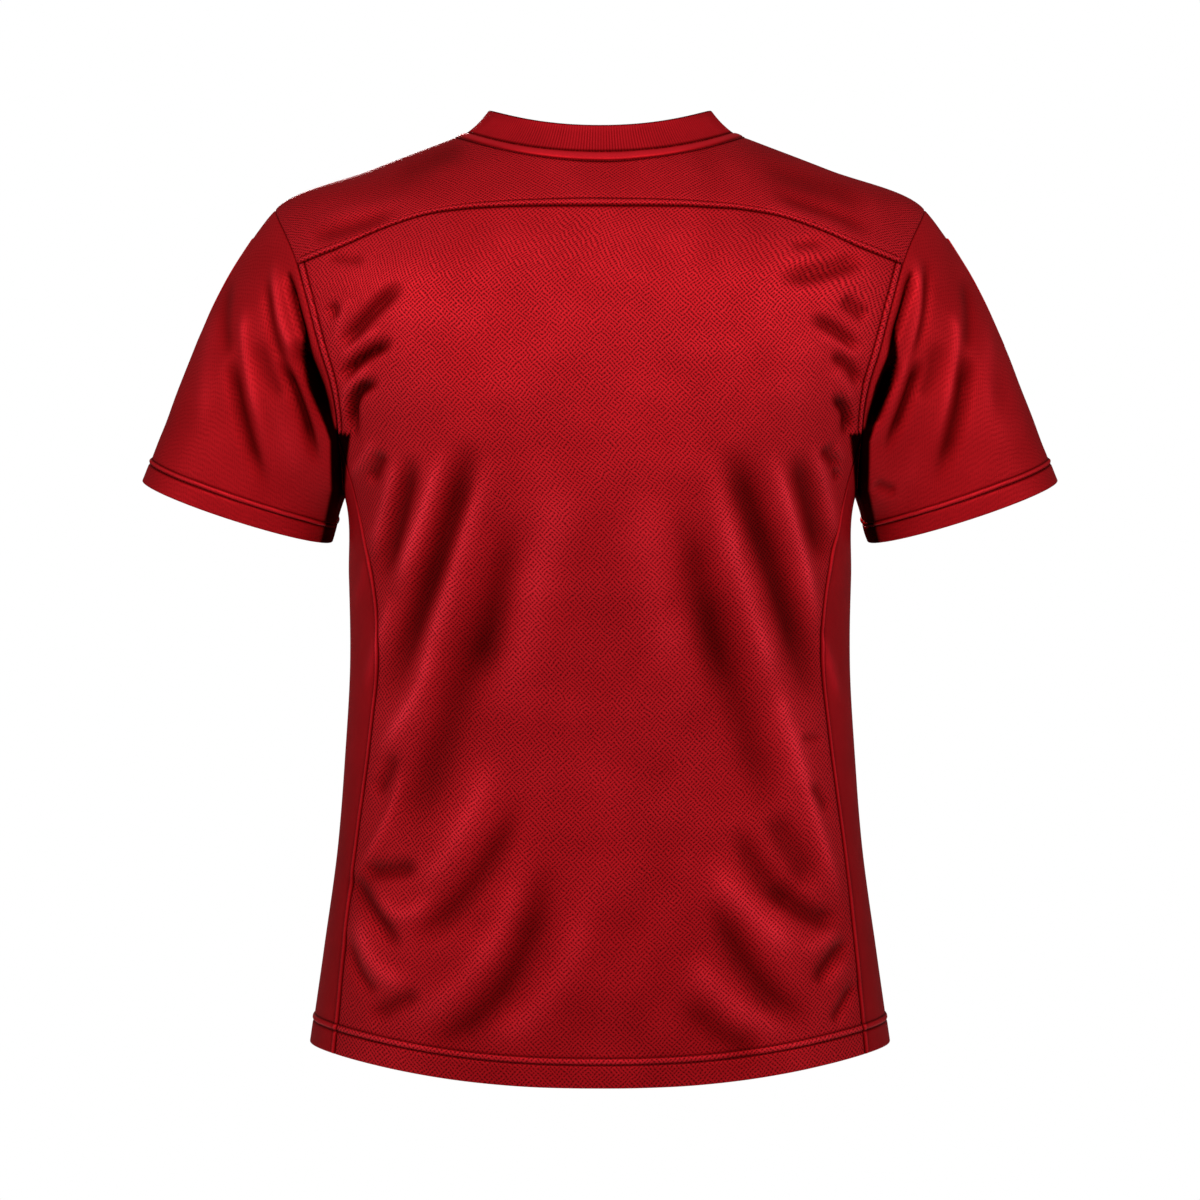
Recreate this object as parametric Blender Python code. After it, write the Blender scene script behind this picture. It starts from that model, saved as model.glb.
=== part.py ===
"""A plain football jersey, filled out as when worn, with no wearer inside.

Units are metres and +Z is up. The garment's back faces +Y, its front faces -Y and the wearer's left is +X.
The origin lies between the two high shoulder points, where the jersey hangs on its wearer.

The body is one smooth loft of rings, from the hem (level 0) to the neck seam. A place on it is an
(angle, level) pair: the angle turns from the left side (0) by the back (90 degrees) to the right side, and
the level runs up the cloth in metres. Every panel is a patch of that surface, cut at shared seam lines, and
each sleeve is a loft from the armhole seam to its cuff.
"""

import math
from collections import namedtuple

import bmesh
import bpy
import numpy as np

# ---------------------------------------------------------------- cloth and seams
WALL = 0.0014  # thickness of every panel
HEM_EXTRA = 0.0006  # how far a turned hem stands out of its panel, and in
HEM_DEPTH = 0.022  # depth of the hem at the bottom of the body
CUFF_DEPTH = 0.019  # depth of the hem on a sleeve
FELL_WIDTH = 0.006  # width of the raised band sewn along the yoke's edge
FELL_RISE = 0.0007
STEP_WIDTH = 0.0016  # length over which a raised band falls back to its panel
HALF_GAP = 0.00015  # each piece stops this far short of its seam line
MITRE_LIMIT = 2.4

# ---------------------------------------------------------------- rings of the body, hem to neck
# square: exponent of the superellipse in plan; drop: how late the ring leaves the height of its side point
Ring = namedtuple("Ring", "side_x side_z back_y back_z front_y front_z square drop")
RINGS = {
    "hem": Ring(0.2180, -0.6840, 0.118, -0.7045, 0.122, -0.6940, 2.35, 2.7),
    "hip": Ring(0.2080, -0.6140, 0.118, -0.6320, 0.124, -0.6230, 2.35, 2.6),
    "belly": Ring(0.1975, -0.5360, 0.112, -0.5500, 0.121, -0.5440, 2.30, 2.5),
    "waist": Ring(0.1922, -0.4680, 0.108, -0.4790, 0.119, -0.4750, 2.25, 2.5),
    "ribcage": Ring(0.1885, -0.4000, 0.112, -0.4080, 0.124, -0.4060, 2.25, 2.4),
    "bust": Ring(0.1893, -0.3350, 0.121, -0.3420, 0.132, -0.3400, 2.30, 2.3),
    "armpit": Ring(0.1922, -0.2750, 0.127, -0.2810, 0.138, -0.2800, 2.35, 2.2),
    "low_armhole": Ring(0.2127, -0.2280, 0.127, -0.2370, 0.138, -0.2380, 2.35, 2.1),
    "mid_armhole": Ring(0.2480, -0.1600, 0.122, -0.1740, 0.133, -0.1800, 2.35, 2.0),
    "high_armhole": Ring(0.2530, -0.1000, 0.112, -0.1180, 0.124, -0.1380, 2.35, 1.9),
    "shoulder_tip": Ring(0.2448, -0.0570, 0.100, -0.0765, 0.113, -0.1110, 1.75, 1.8),
    "mid_shoulder": Ring(0.1720, -0.0270, 0.087, -0.0470, 0.103, -0.0950, 1.80, 1.7),
    "neck": Ring(0.1010, 0.0000, 0.072, -0.0230, 0.094, -0.0820, 2.05, 1.65),
}

# ---------------------------------------------------------------- seam lines
# armhole seam: distance from the middle at each height, on the back and on the front
ARMHOLE = {
    "z": (-0.2310, -0.1960, -0.1540, -0.1330, -0.1060),
    "back_x": (0.1930, 0.1970, 0.2095, 0.2152, 0.2228),
    "front_x": (0.1900, 0.1900, 0.1990, 0.2060, 0.2160),
}
# side panel seams, the same on the back and the front
SIDE_SEAM = {
    "z": (-0.6920, -0.5640, -0.4130, -0.3900, -0.2760, -0.2310),
    "x": (0.1960, 0.1840, 0.1650, 0.1630, 0.1800, 0.1915),
}
YOKE_SEAM = {
    "x": (0.0, 0.0767, 0.0986, 0.1285, 0.1586, 0.1892, 0.2228),
    "z": (-0.0647, -0.0648, -0.0657, -0.0699, -0.0792, -0.0923, -0.1045),
}
YOKE_END_Z = -0.1045  # where the yoke seam meets the armhole
SIDE_TOP_Z = -0.2310  # where a side panel seam meets the armhole
SHOULDER_SEAM_TURN = math.radians(14)  # how far past the ridge the shoulder seam sits, on the armhole
SHOULDER_SEAM_NECK = math.radians(-12)  # its angle on the neck seam
TAPE_WIDTH = 0.0070
TAPE_RISE = 0.0011
# across the tape, from its lower edge up: share of the width, share of the rise, shift clear of its neighbour
TAPE_SECTION = ((0.0, 0.0, 2 * HALF_GAP), (0.22, 1.0, 0.0), (0.78, 1.0, 0.0), (1.0, 0.0, -HALF_GAP))

# ---------------------------------------------------------------- sleeves
CUFF_CENTRE = (0.2760, -0.020, -0.2845)
CUFF_AXIS = (0.310, -0.130, -0.942)  # the way the cuff's opening faces
SLEEVE_HANG = (0.391, -0.127, -0.918)  # the way the cloth runs where it meets the cuff
CUFF_WIDE = 0.0752  # half the cuff's width, seen from behind
CUFF_DEEP = 0.0560  # half its depth, front to back
SLEEVE_LEAVES = (0.12, 1.0)  # how much the sleeve follows the body where it starts, underarm and top

# ---------------------------------------------------------------- collar
COLLAR_WALL = 0.0024
COLLAR_TOP = Ring(0.0835, 0.0180, 0.0640, -0.0010, 0.0800, -0.0600, 2.10, 1.65)
COLLAR_FOOT = 0.012  # the share of the band's height left free under it, at the neck tape
COLLAR_RIM = 0.95  # the share of its height where its rim starts to turn over
COLLAR_BOW = 0.0012  # how far the band's middle bows in from a straight slope
COLLAR_RIBS = 288
COLLAR_RIB_RISE = 0.0004
COLLAR_SIDES = 72

# ---------------------------------------------------------------- folds
# Each fold is a soft ridge, or a trough where its height is negative, along a bow through three points. Where a
# right strength is given, the fold is repeated on the right with that strength and a small slip in height.
Fold = namedtuple("Fold", "start middle end half_width height right_strength right_slip", defaults=(0, 0))
BACK_FOLDS = (
    ((0.124, -0.237), (0.141, -0.285), (0.161, -0.34), 0.0100, -0.0042),
    ((0.086, -0.228), (0.118, -0.329), (0.165, -0.448), 0.0117, -0.0055),
    ((0.078, -0.242), (0.104, -0.331), (0.127, -0.415), 0.0147, 0.0033),
    ((0.119, -0.379), (0.135, -0.429), (0.167, -0.472), 0.0100, 0.0032),
    ((0.067, -0.314), (0.106, -0.448), (0.146, -0.548), 0.0153, -0.0040),
    ((0.129, -0.542), (0.152, -0.545), (0.174, -0.554), 0.0100, -0.0055),
    ((0.072, -0.461), (0.101, -0.527), (0.133, -0.569), 0.0103, 0.0023),
    ((0.115, -0.559), (0.146, -0.573), (0.175, -0.552), 0.0100, 0.0044),
    ((0.054, -0.488), (0.095, -0.561), (0.145, -0.611), 0.0106, -0.0030),
    ((0.176, -0.569), (0.159, -0.616), (0.122, -0.633), 0.0106, 0.0045),
    ((0.046, -0.527), (0.079, -0.61), (0.156, -0.669), 0.0204, 0.0034),
    ((0.036, -0.523), (0.069, -0.632), (0.131, -0.673), 0.0138, -0.0040),
    ((0.021, -0.251), (0.039, -0.345), (0.071, -0.444), 0.0163, 0.0016),
    ((-0.133, -0.231), (-0.148, -0.276), (-0.164, -0.328), 0.0121, -0.0045),
    ((-0.084, -0.227), (-0.122, -0.326), (-0.162, -0.455), 0.0130, -0.0055),
    ((-0.075, -0.239), (-0.102, -0.346), (-0.13, -0.429), 0.0123, 0.0024),
    ((-0.118, -0.401), (-0.139, -0.456), (-0.152, -0.493), 0.0102, 0.0032),
    ((-0.062, -0.316), (-0.092, -0.431), (-0.131, -0.53), 0.0216, -0.0034),
    ((-0.121, -0.563), (-0.15, -0.583), (-0.177, -0.583), 0.0112, -0.0055),
    ((-0.116, -0.499), (-0.139, -0.533), (-0.158, -0.571), 0.0124, -0.0046),
    ((-0.094, -0.51), (-0.114, -0.549), (-0.133, -0.572), 0.0100, -0.0035),
    ((-0.073, -0.533), (-0.108, -0.583), (-0.151, -0.614), 0.0130, 0.0017),
    ((-0.076, -0.561), (-0.112, -0.621), (-0.162, -0.669), 0.0100, -0.0039),
    ((-0.065, -0.6), (-0.093, -0.641), (-0.15, -0.676), 0.0100, 0.0029),
    ((-0.05, -0.634), (-0.081, -0.663), (-0.118, -0.675), 0.0126, -0.0020),
    ((-0.021, -0.252), (-0.029, -0.345), (-0.067, -0.446), 0.0242, 0.0016),
)
FRONT_FOLDS = (
    ((0.176, -0.262), (0.128, -0.300), (0.080, -0.352), 0.0125, -0.0042, 0.9, 0.006),
    ((0.170, -0.300), (0.118, -0.352), (0.062, -0.420), 0.0140, 0.0044, 1.0, -0.005),
    ((0.160, -0.380), (0.112, -0.438), (0.052, -0.500), 0.0150, -0.0040, 1.1, 0.004),
    ((0.158, -0.470), (0.104, -0.530), (0.040, -0.584), 0.0150, 0.0044, 0.9, 0.006),
    ((0.172, -0.560), (0.120, -0.608), (0.064, -0.648), 0.0140, -0.0038, 1.0, -0.004),
    ((0.180, -0.180), (0.148, -0.190), (0.118, -0.214), 0.0110, -0.0034, 0.8, 0.004),
)
SLEEVE_BACK_FOLDS = (
    ((0.271, -0.18), (0.263, -0.23), (0.244, -0.278), 0.0100, -0.0045),
    ((0.289, -0.139), (0.296, -0.189), (0.3, -0.238), 0.0100, 0.0014),
    ((0.28, -0.129), (0.278, -0.166), (0.276, -0.203), 0.0100, -0.0019),
    ((0.244, -0.119), (0.237, -0.175), (0.216, -0.221), 0.0110, -0.0050),
    ((0.222, -0.162), (0.204, -0.2), (0.189, -0.241), 0.0101, -0.0029),
    ((-0.271, -0.18), (-0.262, -0.231), (-0.244, -0.281), 0.0100, -0.0045),
    ((-0.289, -0.139), (-0.292, -0.189), (-0.298, -0.239), 0.0100, 0.0017),
    ((-0.28, -0.13), (-0.276, -0.167), (-0.276, -0.202), 0.0100, -0.0024),
    ((-0.242, -0.112), (-0.236, -0.172), (-0.221, -0.227), 0.0100, -0.0048),
)
SLEEVE_FRONT_FOLDS = (
    ((0.232, -0.150), (0.236, -0.200), (0.226, -0.250), 0.0110, 0.0050, 0.9, 0.004),
    ((0.262, -0.130), (0.262, -0.184), (0.248, -0.236), 0.0120, -0.0042, 1.0, -0.003),
    ((0.290, -0.140), (0.298, -0.190), (0.302, -0.230), 0.0130, 0.0032, 0.9, 0.003),
)
FOLD_STEPS = 12
FOLD_ENDS = 0.22  # share of its length over which a fold dies away at either end

# ---------------------------------------------------------------- how finely the cloth is divided
BODY_ROW = 0.0200  # height of a row of the body
ARMHOLE_ROWS_BACK = 6
ARMHOLE_ROWS_FRONT = 8
YOKE_COLUMNS = 32
SHOULDER_COLUMNS = 8
YOKE_ROWS = 5
FRONT_COLUMNS = 24
SIDE_COLUMNS = 6
SLEEVE_ROWS = 7
FINE_STEP = 1e-4  # step used to find slopes of the surface

COLOURS = {
    "mesh": (0.43, 0.012, 0.020, 1.0),
    "side": (0.40, 0.011, 0.018, 1.0),
    "rib": (0.38, 0.011, 0.018, 1.0),
    "tape": (0.46, 0.014, 0.022, 1.0),
}


# ================================================================ curves
def curve(knots, values, at):
    """Smooth curve through values (one row for each knot), read at the places given."""
    knots = np.asarray(knots, float)
    values = np.asarray(values, float)
    if values.ndim == 1:
        return curve(knots, values[:, None], at)[..., 0]
    steps = np.diff(knots)
    rises = np.diff(values, axis=0) / steps[:, None]
    slopes = np.empty_like(values)
    slopes[0], slopes[-1] = rises[0], rises[-1]
    share = (steps[1:] / (steps[1:] + steps[:-1]))[:, None]
    slopes[1:-1] = rises[:-1] * share + rises[1:] * (1 - share)
    at = np.asarray(at, float)
    cell = np.clip(np.searchsorted(knots, at) - 1, 0, len(knots) - 2)
    width = steps[cell]
    part = ((at - knots[cell]) / width)[..., None]
    width = width[..., None]
    square, cube = part**2, part**3
    return (
        values[cell] * (2 * cube - 3 * square + 1)
        + slopes[cell] * width * (cube - 2 * square + part)
        + values[cell + 1] * (3 * square - 2 * cube)
        + slopes[cell + 1] * width * (cube - square)
    )


def ease(value, low, high):
    """0 below low, 1 above high, and a smooth rise between them."""
    part = np.clip((value - low) / (high - low), 0, 1)
    return part * part * (3 - 2 * part)


def unit(vectors):
    return vectors / np.maximum(np.linalg.norm(vectors, axis=-1, keepdims=True), 1e-12)


def fold_height(across, up, folds):
    """Height of the cloth's folds at places seen from the back or the front."""
    total = np.zeros(np.shape(across))
    part = np.linspace(0, 1, FOLD_STEPS + 1)[:, None]
    for fold in (Fold(*row) for row in folds):
        start, middle, end = (np.array(point) for point in (fold.start, fold.middle, fold.end))
        bend = 2 * middle - (start + end) / 2
        line = start * (1 - part) ** 2 + bend * 2 * part * (1 - part) + end * part**2
        for side, strength, slip in ((1, 1.0, 0.0), (-1, fold.right_strength, fold.right_slip)):
            if not strength:
                continue
            place = np.stack([across * side, up - slip], axis=-1)[..., None, :]
            run = np.diff(line, axis=0)
            along = np.clip(((place - line[:-1]) * run).sum(-1) / (run * run).sum(-1), 0, 1)
            away = np.linalg.norm(place - line[:-1] - along[..., None] * run, axis=-1)
            nearest = away.argmin(-1)[..., None]
            reach = np.take_along_axis(away, nearest, -1)[..., 0]
            share = (nearest[..., 0] + np.take_along_axis(along, nearest, -1)[..., 0]) / FOLD_STEPS
            taper = ease(share, 0, FOLD_ENDS) * ease(1 - share, 0, FOLD_ENDS)
            total += fold.height * strength * taper * np.exp(-((reach / fold.half_width) ** 2))
    return total


# ================================================================ the body's surface
RING_ROWS = np.array(list(RINGS.values()))


def ring_levels():
    """Level of each ring: the distance up the cloth, averaged between its side and its back."""
    side = RING_ROWS[:, [0, 1]]
    back = RING_ROWS[:, [2, 3]]
    steps = [np.linalg.norm(np.diff(line, axis=0), axis=1) for line in (side, back)]
    return np.concatenate([[0], np.cumsum(np.mean(steps, axis=0))])


LEVELS = ring_levels()
NECK_LEVEL = LEVELS[-1]
TIP_LEVEL = LEVELS[list(RINGS).index("shoulder_tip")]
PIT_LEVEL = LEVELS[list(RINGS).index("armpit")] + 0.004


def ring_point(angle, row):
    """The point of one ring at an angle; row holds the ring's columns in its last axis."""
    ring = Ring(*np.moveaxis(row, -1, 0))
    turn, rise = np.cos(angle), np.sin(angle)
    x = ring.side_x * np.sign(turn) * np.abs(turn) ** (2 / ring.square)
    y = np.where(rise >= 0, ring.back_y, ring.front_y) * np.sign(rise) * np.abs(rise) ** (2 / ring.square)
    middle_z = np.where(rise >= 0, ring.back_z, ring.front_z)
    z = ring.side_z + (middle_z - ring.side_z) * np.abs(rise) ** ring.drop
    return np.stack(np.broadcast_arrays(x, y, z), axis=-1)


def smooth_body(angle, level):
    """The body's surface before its folds."""
    angle, level = np.broadcast_arrays(np.asarray(angle, float), np.asarray(level, float))
    return ring_point(angle, curve(LEVELS, RING_ROWS, level))


def slopes_of(surface, first, second):
    """Slopes of a surface along its two parameters."""
    along = surface(first + FINE_STEP, second) - surface(first - FINE_STEP, second)
    up = surface(first, second + FINE_STEP) - surface(first, second - FINE_STEP)
    return along / (2 * FINE_STEP), up / (2 * FINE_STEP)


def normal_of(surface, first, second):
    along, up = slopes_of(surface, first, second)
    return unit(np.cross(along, up))


def body(angle, level):
    """The body's surface with its folds."""
    angle, level = np.broadcast_arrays(np.asarray(angle, float), np.asarray(level, float))
    place = smooth_body(angle, level)
    rise = np.sin(angle)
    height = fold_height(place[..., 0], place[..., 2], BACK_FOLDS) * ease(rise, 0.05, 0.4)
    height += fold_height(place[..., 0], place[..., 2], FRONT_FOLDS) * ease(-rise, 0.05, 0.4)
    return place + height[..., None] * normal_of(smooth_body, angle, level)


# ================================================================ seam lines, as (angle, level) pairs
def level_at(angle, height):
    """Level at which the body has a height, by halving."""
    angle, height = np.broadcast_arrays(np.asarray(angle, float), np.asarray(height, float))
    low, high = np.zeros(angle.shape), np.full(angle.shape, NECK_LEVEL)
    for _ in range(40):
        middle = (low + high) / 2
        under = smooth_body(angle, middle)[..., 2] < height
        low, high = np.where(under, middle, low), np.where(under, high, middle)
    return (low + high) / 2


def angle_at(x, level):
    """Angle, on the left half of the back, at which the body is x from the middle."""
    ring = Ring(*np.moveaxis(curve(LEVELS, RING_ROWS, level), -1, 0))
    return np.arccos(np.clip(x / ring.side_x, 0, 1) ** (ring.square / 2))


def place_at(x, height, face=1):
    """The pair whose point, seen from the back (face 1) or the front (face -1), is x across and high."""
    angle = np.full(np.shape(x), 0.9)
    for _ in range(30):
        level = level_at(face * angle, height)
        angle = angle_at(np.asarray(x), level)
    return face * angle, level


def armhole_turn(level):
    """Turn round the armhole, 0 at the underarm and pi at the shoulder tip, for a level of its back half."""
    return np.arccos(np.clip(1 - 2 * (level - PIT_LEVEL) / (TIP_LEVEL - PIT_LEVEL), -1, 1))


def armhole_spread(face, column):
    """How wide the armhole opens, as the angle over the sine of the turn, with the turns it is known at."""
    angle, level = place_at(np.array(ARMHOLE[column]), np.array(ARMHOLE["z"]), face)
    turn = armhole_turn(level)
    spread = np.abs(angle) / np.sin(turn)
    turn = np.concatenate([[0], turn, [math.pi]])
    return turn, np.concatenate([spread[:1], spread, spread[-1:] * 0.9])


ARMHOLE_SPREADS = {1: armhole_spread(1, "back_x"), -1: armhole_spread(-1, "front_x")}


def armhole(turn):
    """The left armhole seam: from the underarm up the back, over the shoulder and down the front."""
    turn = np.asarray(turn, float)
    level = PIT_LEVEL + (TIP_LEVEL - PIT_LEVEL) * (1 - np.cos(turn)) / 2
    near = np.abs((turn + math.pi) % (2 * math.pi) - math.pi)
    back, front = (curve(*ARMHOLE_SPREADS[face], near) for face in (1, -1))
    share = ease(np.sin(turn), -0.35, 0.35)
    return np.sin(turn) * (back * share + front * (1 - share)), level


def turn_at_height(height, face):
    """Turn of the armhole at a height, on its back or front half."""
    turns = np.linspace(0, math.pi, 721)
    heights = smooth_body(*armhole(face * turns))[:, 2]
    return np.interp(height, heights, turns)


def mirrored(line):
    """The same line on the other side of the garment, run the other way."""
    angle, level = line
    return (math.pi - angle)[::-1], level[::-1]


def joined(*lines):
    """Lines run one after the other, without the points they share."""
    angles = [lines[0][0]] + [line[0][1:] for line in lines[1:]]
    levels = [lines[0][1]] + [line[1][1:] for line in lines[1:]]
    return np.concatenate(angles), np.concatenate(levels)


def between(low, high, parts):
    return np.linspace(low, high, parts + 1)


TURN_SIDE_BACK = turn_at_height(SIDE_TOP_Z, 1)
TURN_SIDE_FRONT = turn_at_height(SIDE_TOP_Z, -1)
TURN_YOKE = turn_at_height(YOKE_END_Z, 1)
TURN_SHOULDER = math.pi + SHOULDER_SEAM_TURN


def neck_line(angle):
    """Lower edge of the neck tape: its width down the cloth from the neck seam."""
    level = np.full(np.shape(angle), NECK_LEVEL - TAPE_WIDTH)
    up = slopes_of(smooth_body, angle, level)[1]
    return angle, NECK_LEVEL - TAPE_WIDTH / np.linalg.norm(up, axis=-1)


def side_seam(face):
    """A side panel's seam on the back or the front, from the hem to the armhole."""
    end_turn = TURN_SIDE_BACK if face > 0 else -TURN_SIDE_FRONT
    end_angle, end_level = armhole(np.array(end_turn))
    rows = round((end_level - HEM_DEPTH) / BODY_ROW)
    level = np.concatenate([[0, HEM_DEPTH], between(HEM_DEPTH + STEP_WIDTH, end_level, rows)])
    angle = np.full(level.shape, 0.45)
    for _ in range(30):
        height = smooth_body(face * angle, level)[:, 2]
        angle = angle_at(curve(SIDE_SEAM["z"], SIDE_SEAM["x"], height), level)
    slack = abs(end_angle) - angle[-1]
    return face * (angle + slack * ease(level, end_level * 0.6, end_level)), level


def yoke_seam():
    """The yoke's seam across the back, from the left armhole to the right one."""
    end_x = smooth_body(*armhole(np.array(TURN_YOKE)))[0]
    x = between(0, 1, YOKE_COLUMNS // 2) * end_x
    drop = np.array(YOKE_SEAM["z"])
    height = curve(np.array(YOKE_SEAM["x"]) * end_x / YOKE_SEAM["x"][-1], drop, x)
    angle, level = place_at(x, height)
    angle, level = angle[::-1].copy(), level[::-1].copy()
    angle[0], level[0] = armhole(np.array(TURN_YOKE))
    angle[-1] = math.pi / 2
    return joined((angle, level), mirrored((angle, level)))


# ================================================================ panels, as grids of (angle, level)
def patch(left, right, bottom, top):
    """Grid of pairs inside four edges; rows run from bottom to top, and columns from left to right."""
    left, right, bottom, top = (np.stack(edge, axis=-1) for edge in (left, right, bottom, top))
    rise = (left[:, 1] - left[0, 1]) / (left[-1, 1] - left[0, 1])
    run = (bottom[:, 0] - bottom[0, 0]) / (bottom[-1, 0] - bottom[0, 0])
    rise, run = rise[:, None, None], run[None, :, None]
    grid = (1 - rise) * bottom[None] + rise * top[None]
    grid = grid + (1 - run) * left[:, None] + run * right[:, None]
    corners = (1 - run) * bottom[0] + run * bottom[-1]
    corners = (1 - rise) * corners + rise * ((1 - run) * top[0] + run * top[-1])
    grid = grid - corners
    return grid[..., 0], grid[..., 1]


def flat_edge(low_angle, high_angle, parts, level=0.0):
    return between(low_angle, high_angle, parts), np.full(parts + 1, level)


def yoke_grid():
    """Yoke: its lower edge runs over both shoulders, and its upper edge is the neck tape."""
    shoulder = armhole(between(TURN_SHOULDER, TURN_YOKE, SHOULDER_COLUMNS))
    edge = joined(shoulder, yoke_seam(), mirrored(shoulder))
    neck = neck_line(between(SHOULDER_SEAM_NECK, math.pi - SHOULDER_SEAM_NECK, len(edge[0]) - 1))
    length = np.linalg.norm(smooth_body(*edge) - smooth_body(*neck), axis=-1)
    starts = [0 * length, FELL_WIDTH / length, (FELL_WIDTH + STEP_WIDTH) / length]
    rest = [starts[-1] + (1 - starts[-1]) * part for part in between(0, 1, YOKE_ROWS)[1:]]
    share = np.stack(starts + rest)
    angle = edge[0] * (1 - share) + neck[0] * share
    return angle, edge[1] * (1 - share) + neck[1] * share


YOKE = yoke_grid()


def back_grid():
    armhole_part = armhole(between(TURN_SIDE_BACK, TURN_YOKE, ARMHOLE_ROWS_BACK))
    left = joined(side_seam(1), armhole_part)
    right = math.pi - left[0], left[1]
    bottom = flat_edge(left[0][0], right[0][0], YOKE_COLUMNS)
    return patch(left, right, bottom, yoke_seam())


def front_grid():
    """Front: its edges rise by the side panel, the armhole and the shoulder seam to the neck tape."""
    armhole_part = armhole(between(-TURN_SIDE_FRONT, TURN_SHOULDER - 2 * math.pi, ARMHOLE_ROWS_FRONT))
    left = joined(side_seam(-1), armhole_part, (YOKE[0][:, 0], YOKE[1][:, 0]))
    right = -math.pi - left[0], left[1]
    bottom = flat_edge(right[0][0], left[0][0], FRONT_COLUMNS)
    top = neck_line(between(right[0][-1], left[0][-1], FRONT_COLUMNS))
    return patch(right, left, bottom, top)


def side_grid(side):
    """Side panel: its upper edge is the bottom of the armhole."""
    top = armhole(between(-TURN_SIDE_FRONT, TURN_SIDE_BACK, SIDE_COLUMNS))
    front, back = side_seam(-1), side_seam(1)
    bottom = flat_edge(front[0][0], back[0][0], SIDE_COLUMNS)
    angle, level = patch(front, back, bottom, top)
    return (angle, level) if side > 0 else (math.pi - angle[:, ::-1], level[:, ::-1])


# ================================================================ sleeves
def on_side(angle, side):
    return angle if side > 0 else math.pi - angle


def sleeve_start(turn, side):
    """Where a sleeve leaves the body: the seam's point, the body's normal, and the seam's own direction."""
    angle, level = armhole(turn)
    point = body(on_side(angle, side), level)
    normal = normal_of(body, on_side(angle, side), level)
    ahead, behind = armhole(turn + FINE_STEP), armhole(turn - FINE_STEP)
    seam = unit(body(on_side(ahead[0], side), ahead[1]) - body(on_side(behind[0], side), behind[1]))
    return point, normal, seam


def mirror_x(vector, side):
    return np.array(vector) * (side, 1, 1)


def plain_sleeve(turn, part, side):
    """A sleeve before its folds: part is 0 at the armhole and 1 at the cuff."""
    point, normal, seam = sleeve_start(turn, side)
    axis, arrive = unit(mirror_x(CUFF_AXIS, side)), unit(mirror_x(SLEEVE_HANG, side))
    out_of_body = unit(np.cross(normal, seam)) * side
    top = ease(-np.cos(turn), -0.9, 0.6)
    follow = (SLEEVE_LEAVES[0] * (1 - top) + SLEEVE_LEAVES[1] * top)[..., None]
    leave = unit(out_of_body * follow + axis * (1 - follow))
    deep = unit(np.array((0.0, 1.0, 0.0)) - axis * axis[1])
    wide = np.cross(deep, axis) * side
    wide = wide * np.sign(wide[0]) * side
    turned = np.asarray(turn)[..., None]
    cuff = mirror_x(CUFF_CENTRE, side) - CUFF_WIDE * wide * np.cos(turned) + CUFF_DEEP * deep * np.sin(turned)
    length = np.linalg.norm(cuff - point, axis=-1, keepdims=True)
    part = np.asarray(part)[..., None]
    square, cube = part**2, part**3
    return (
        point * (2 * cube - 3 * square + 1)
        + leave * length * (cube - 2 * square + part)
        + cuff * (3 * square - 2 * cube)
        + arrive * length * (cube - square)
    )


def sleeve(turn, part, side):
    """A sleeve with its folds, which leave its seam and its cuff plain."""
    turn, part = np.broadcast_arrays(np.asarray(turn, float), np.asarray(part, float))
    place = plain_sleeve(turn, part, side)
    along, up = slopes_of(lambda first, second: plain_sleeve(first, second, side), turn, part)
    normal = unit(np.cross(along, up)) * side
    back = ease(np.sin(turn), -0.1, 0.35)
    height = fold_height(place[..., 0], place[..., 2], SLEEVE_BACK_FOLDS) * back
    height += fold_height(place[..., 0], place[..., 2], SLEEVE_FRONT_FOLDS) * (1 - back)
    height *= ease(part, 0.0, 0.12) * ease(1 - part, 0.02, 0.2)
    return place + height[..., None] * normal


def sleeve_normal(turn, part, side):
    along, up = slopes_of(lambda first, second: sleeve(first, second, side), turn, part)
    return unit(np.cross(along, up)) * side


def mitre(turn, side):
    """Direction shared by the body and the sleeve through their walls at the armhole, with its stretch."""
    both = sleeve_start(turn, side)[1] + sleeve_normal(turn, 0 * turn + 0.01, side)
    length = np.linalg.norm(both, axis=-1, keepdims=True)
    return both / length * np.minimum(2 / length, MITRE_LIMIT)


# ================================================================ walls
def drawn_in(points, normals, sides=("left", "right", "bottom", "top")):
    """Grid points with the named edges drawn in from their seam lines, in the surface."""
    moved = points.copy()
    for side in sides:
        row, line, inner = {
            "left": (np.s_[:, 0], points[:, 0], points[:, 1]),
            "right": (np.s_[:, -1], points[:, -1], points[:, -2]),
            "bottom": (np.s_[0], points[0], points[1]),
            "top": (np.s_[-1], points[-1], points[-2]),
        }[side]
        run = unit(np.gradient(line, axis=0))
        into = np.cross(normals[row], run)
        into *= np.sign(((inner - line) * into).sum(-1, keepdims=True))
        moved[row] += HALF_GAP * unit(into)
    return moved


def split_rim(face, inner_vertices):
    """Cut a rim face from its lower outer corner to its far inner one, so that neighbours' rims match."""
    outer_corners = [corner for corner in face.verts if corner not in inner_vertices]
    low = list(face.verts).index(min(outer_corners, key=lambda corner: corner.co.z))
    bmesh.utils.face_split(face, face.verts[low], face.verts[low - 2])


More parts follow.
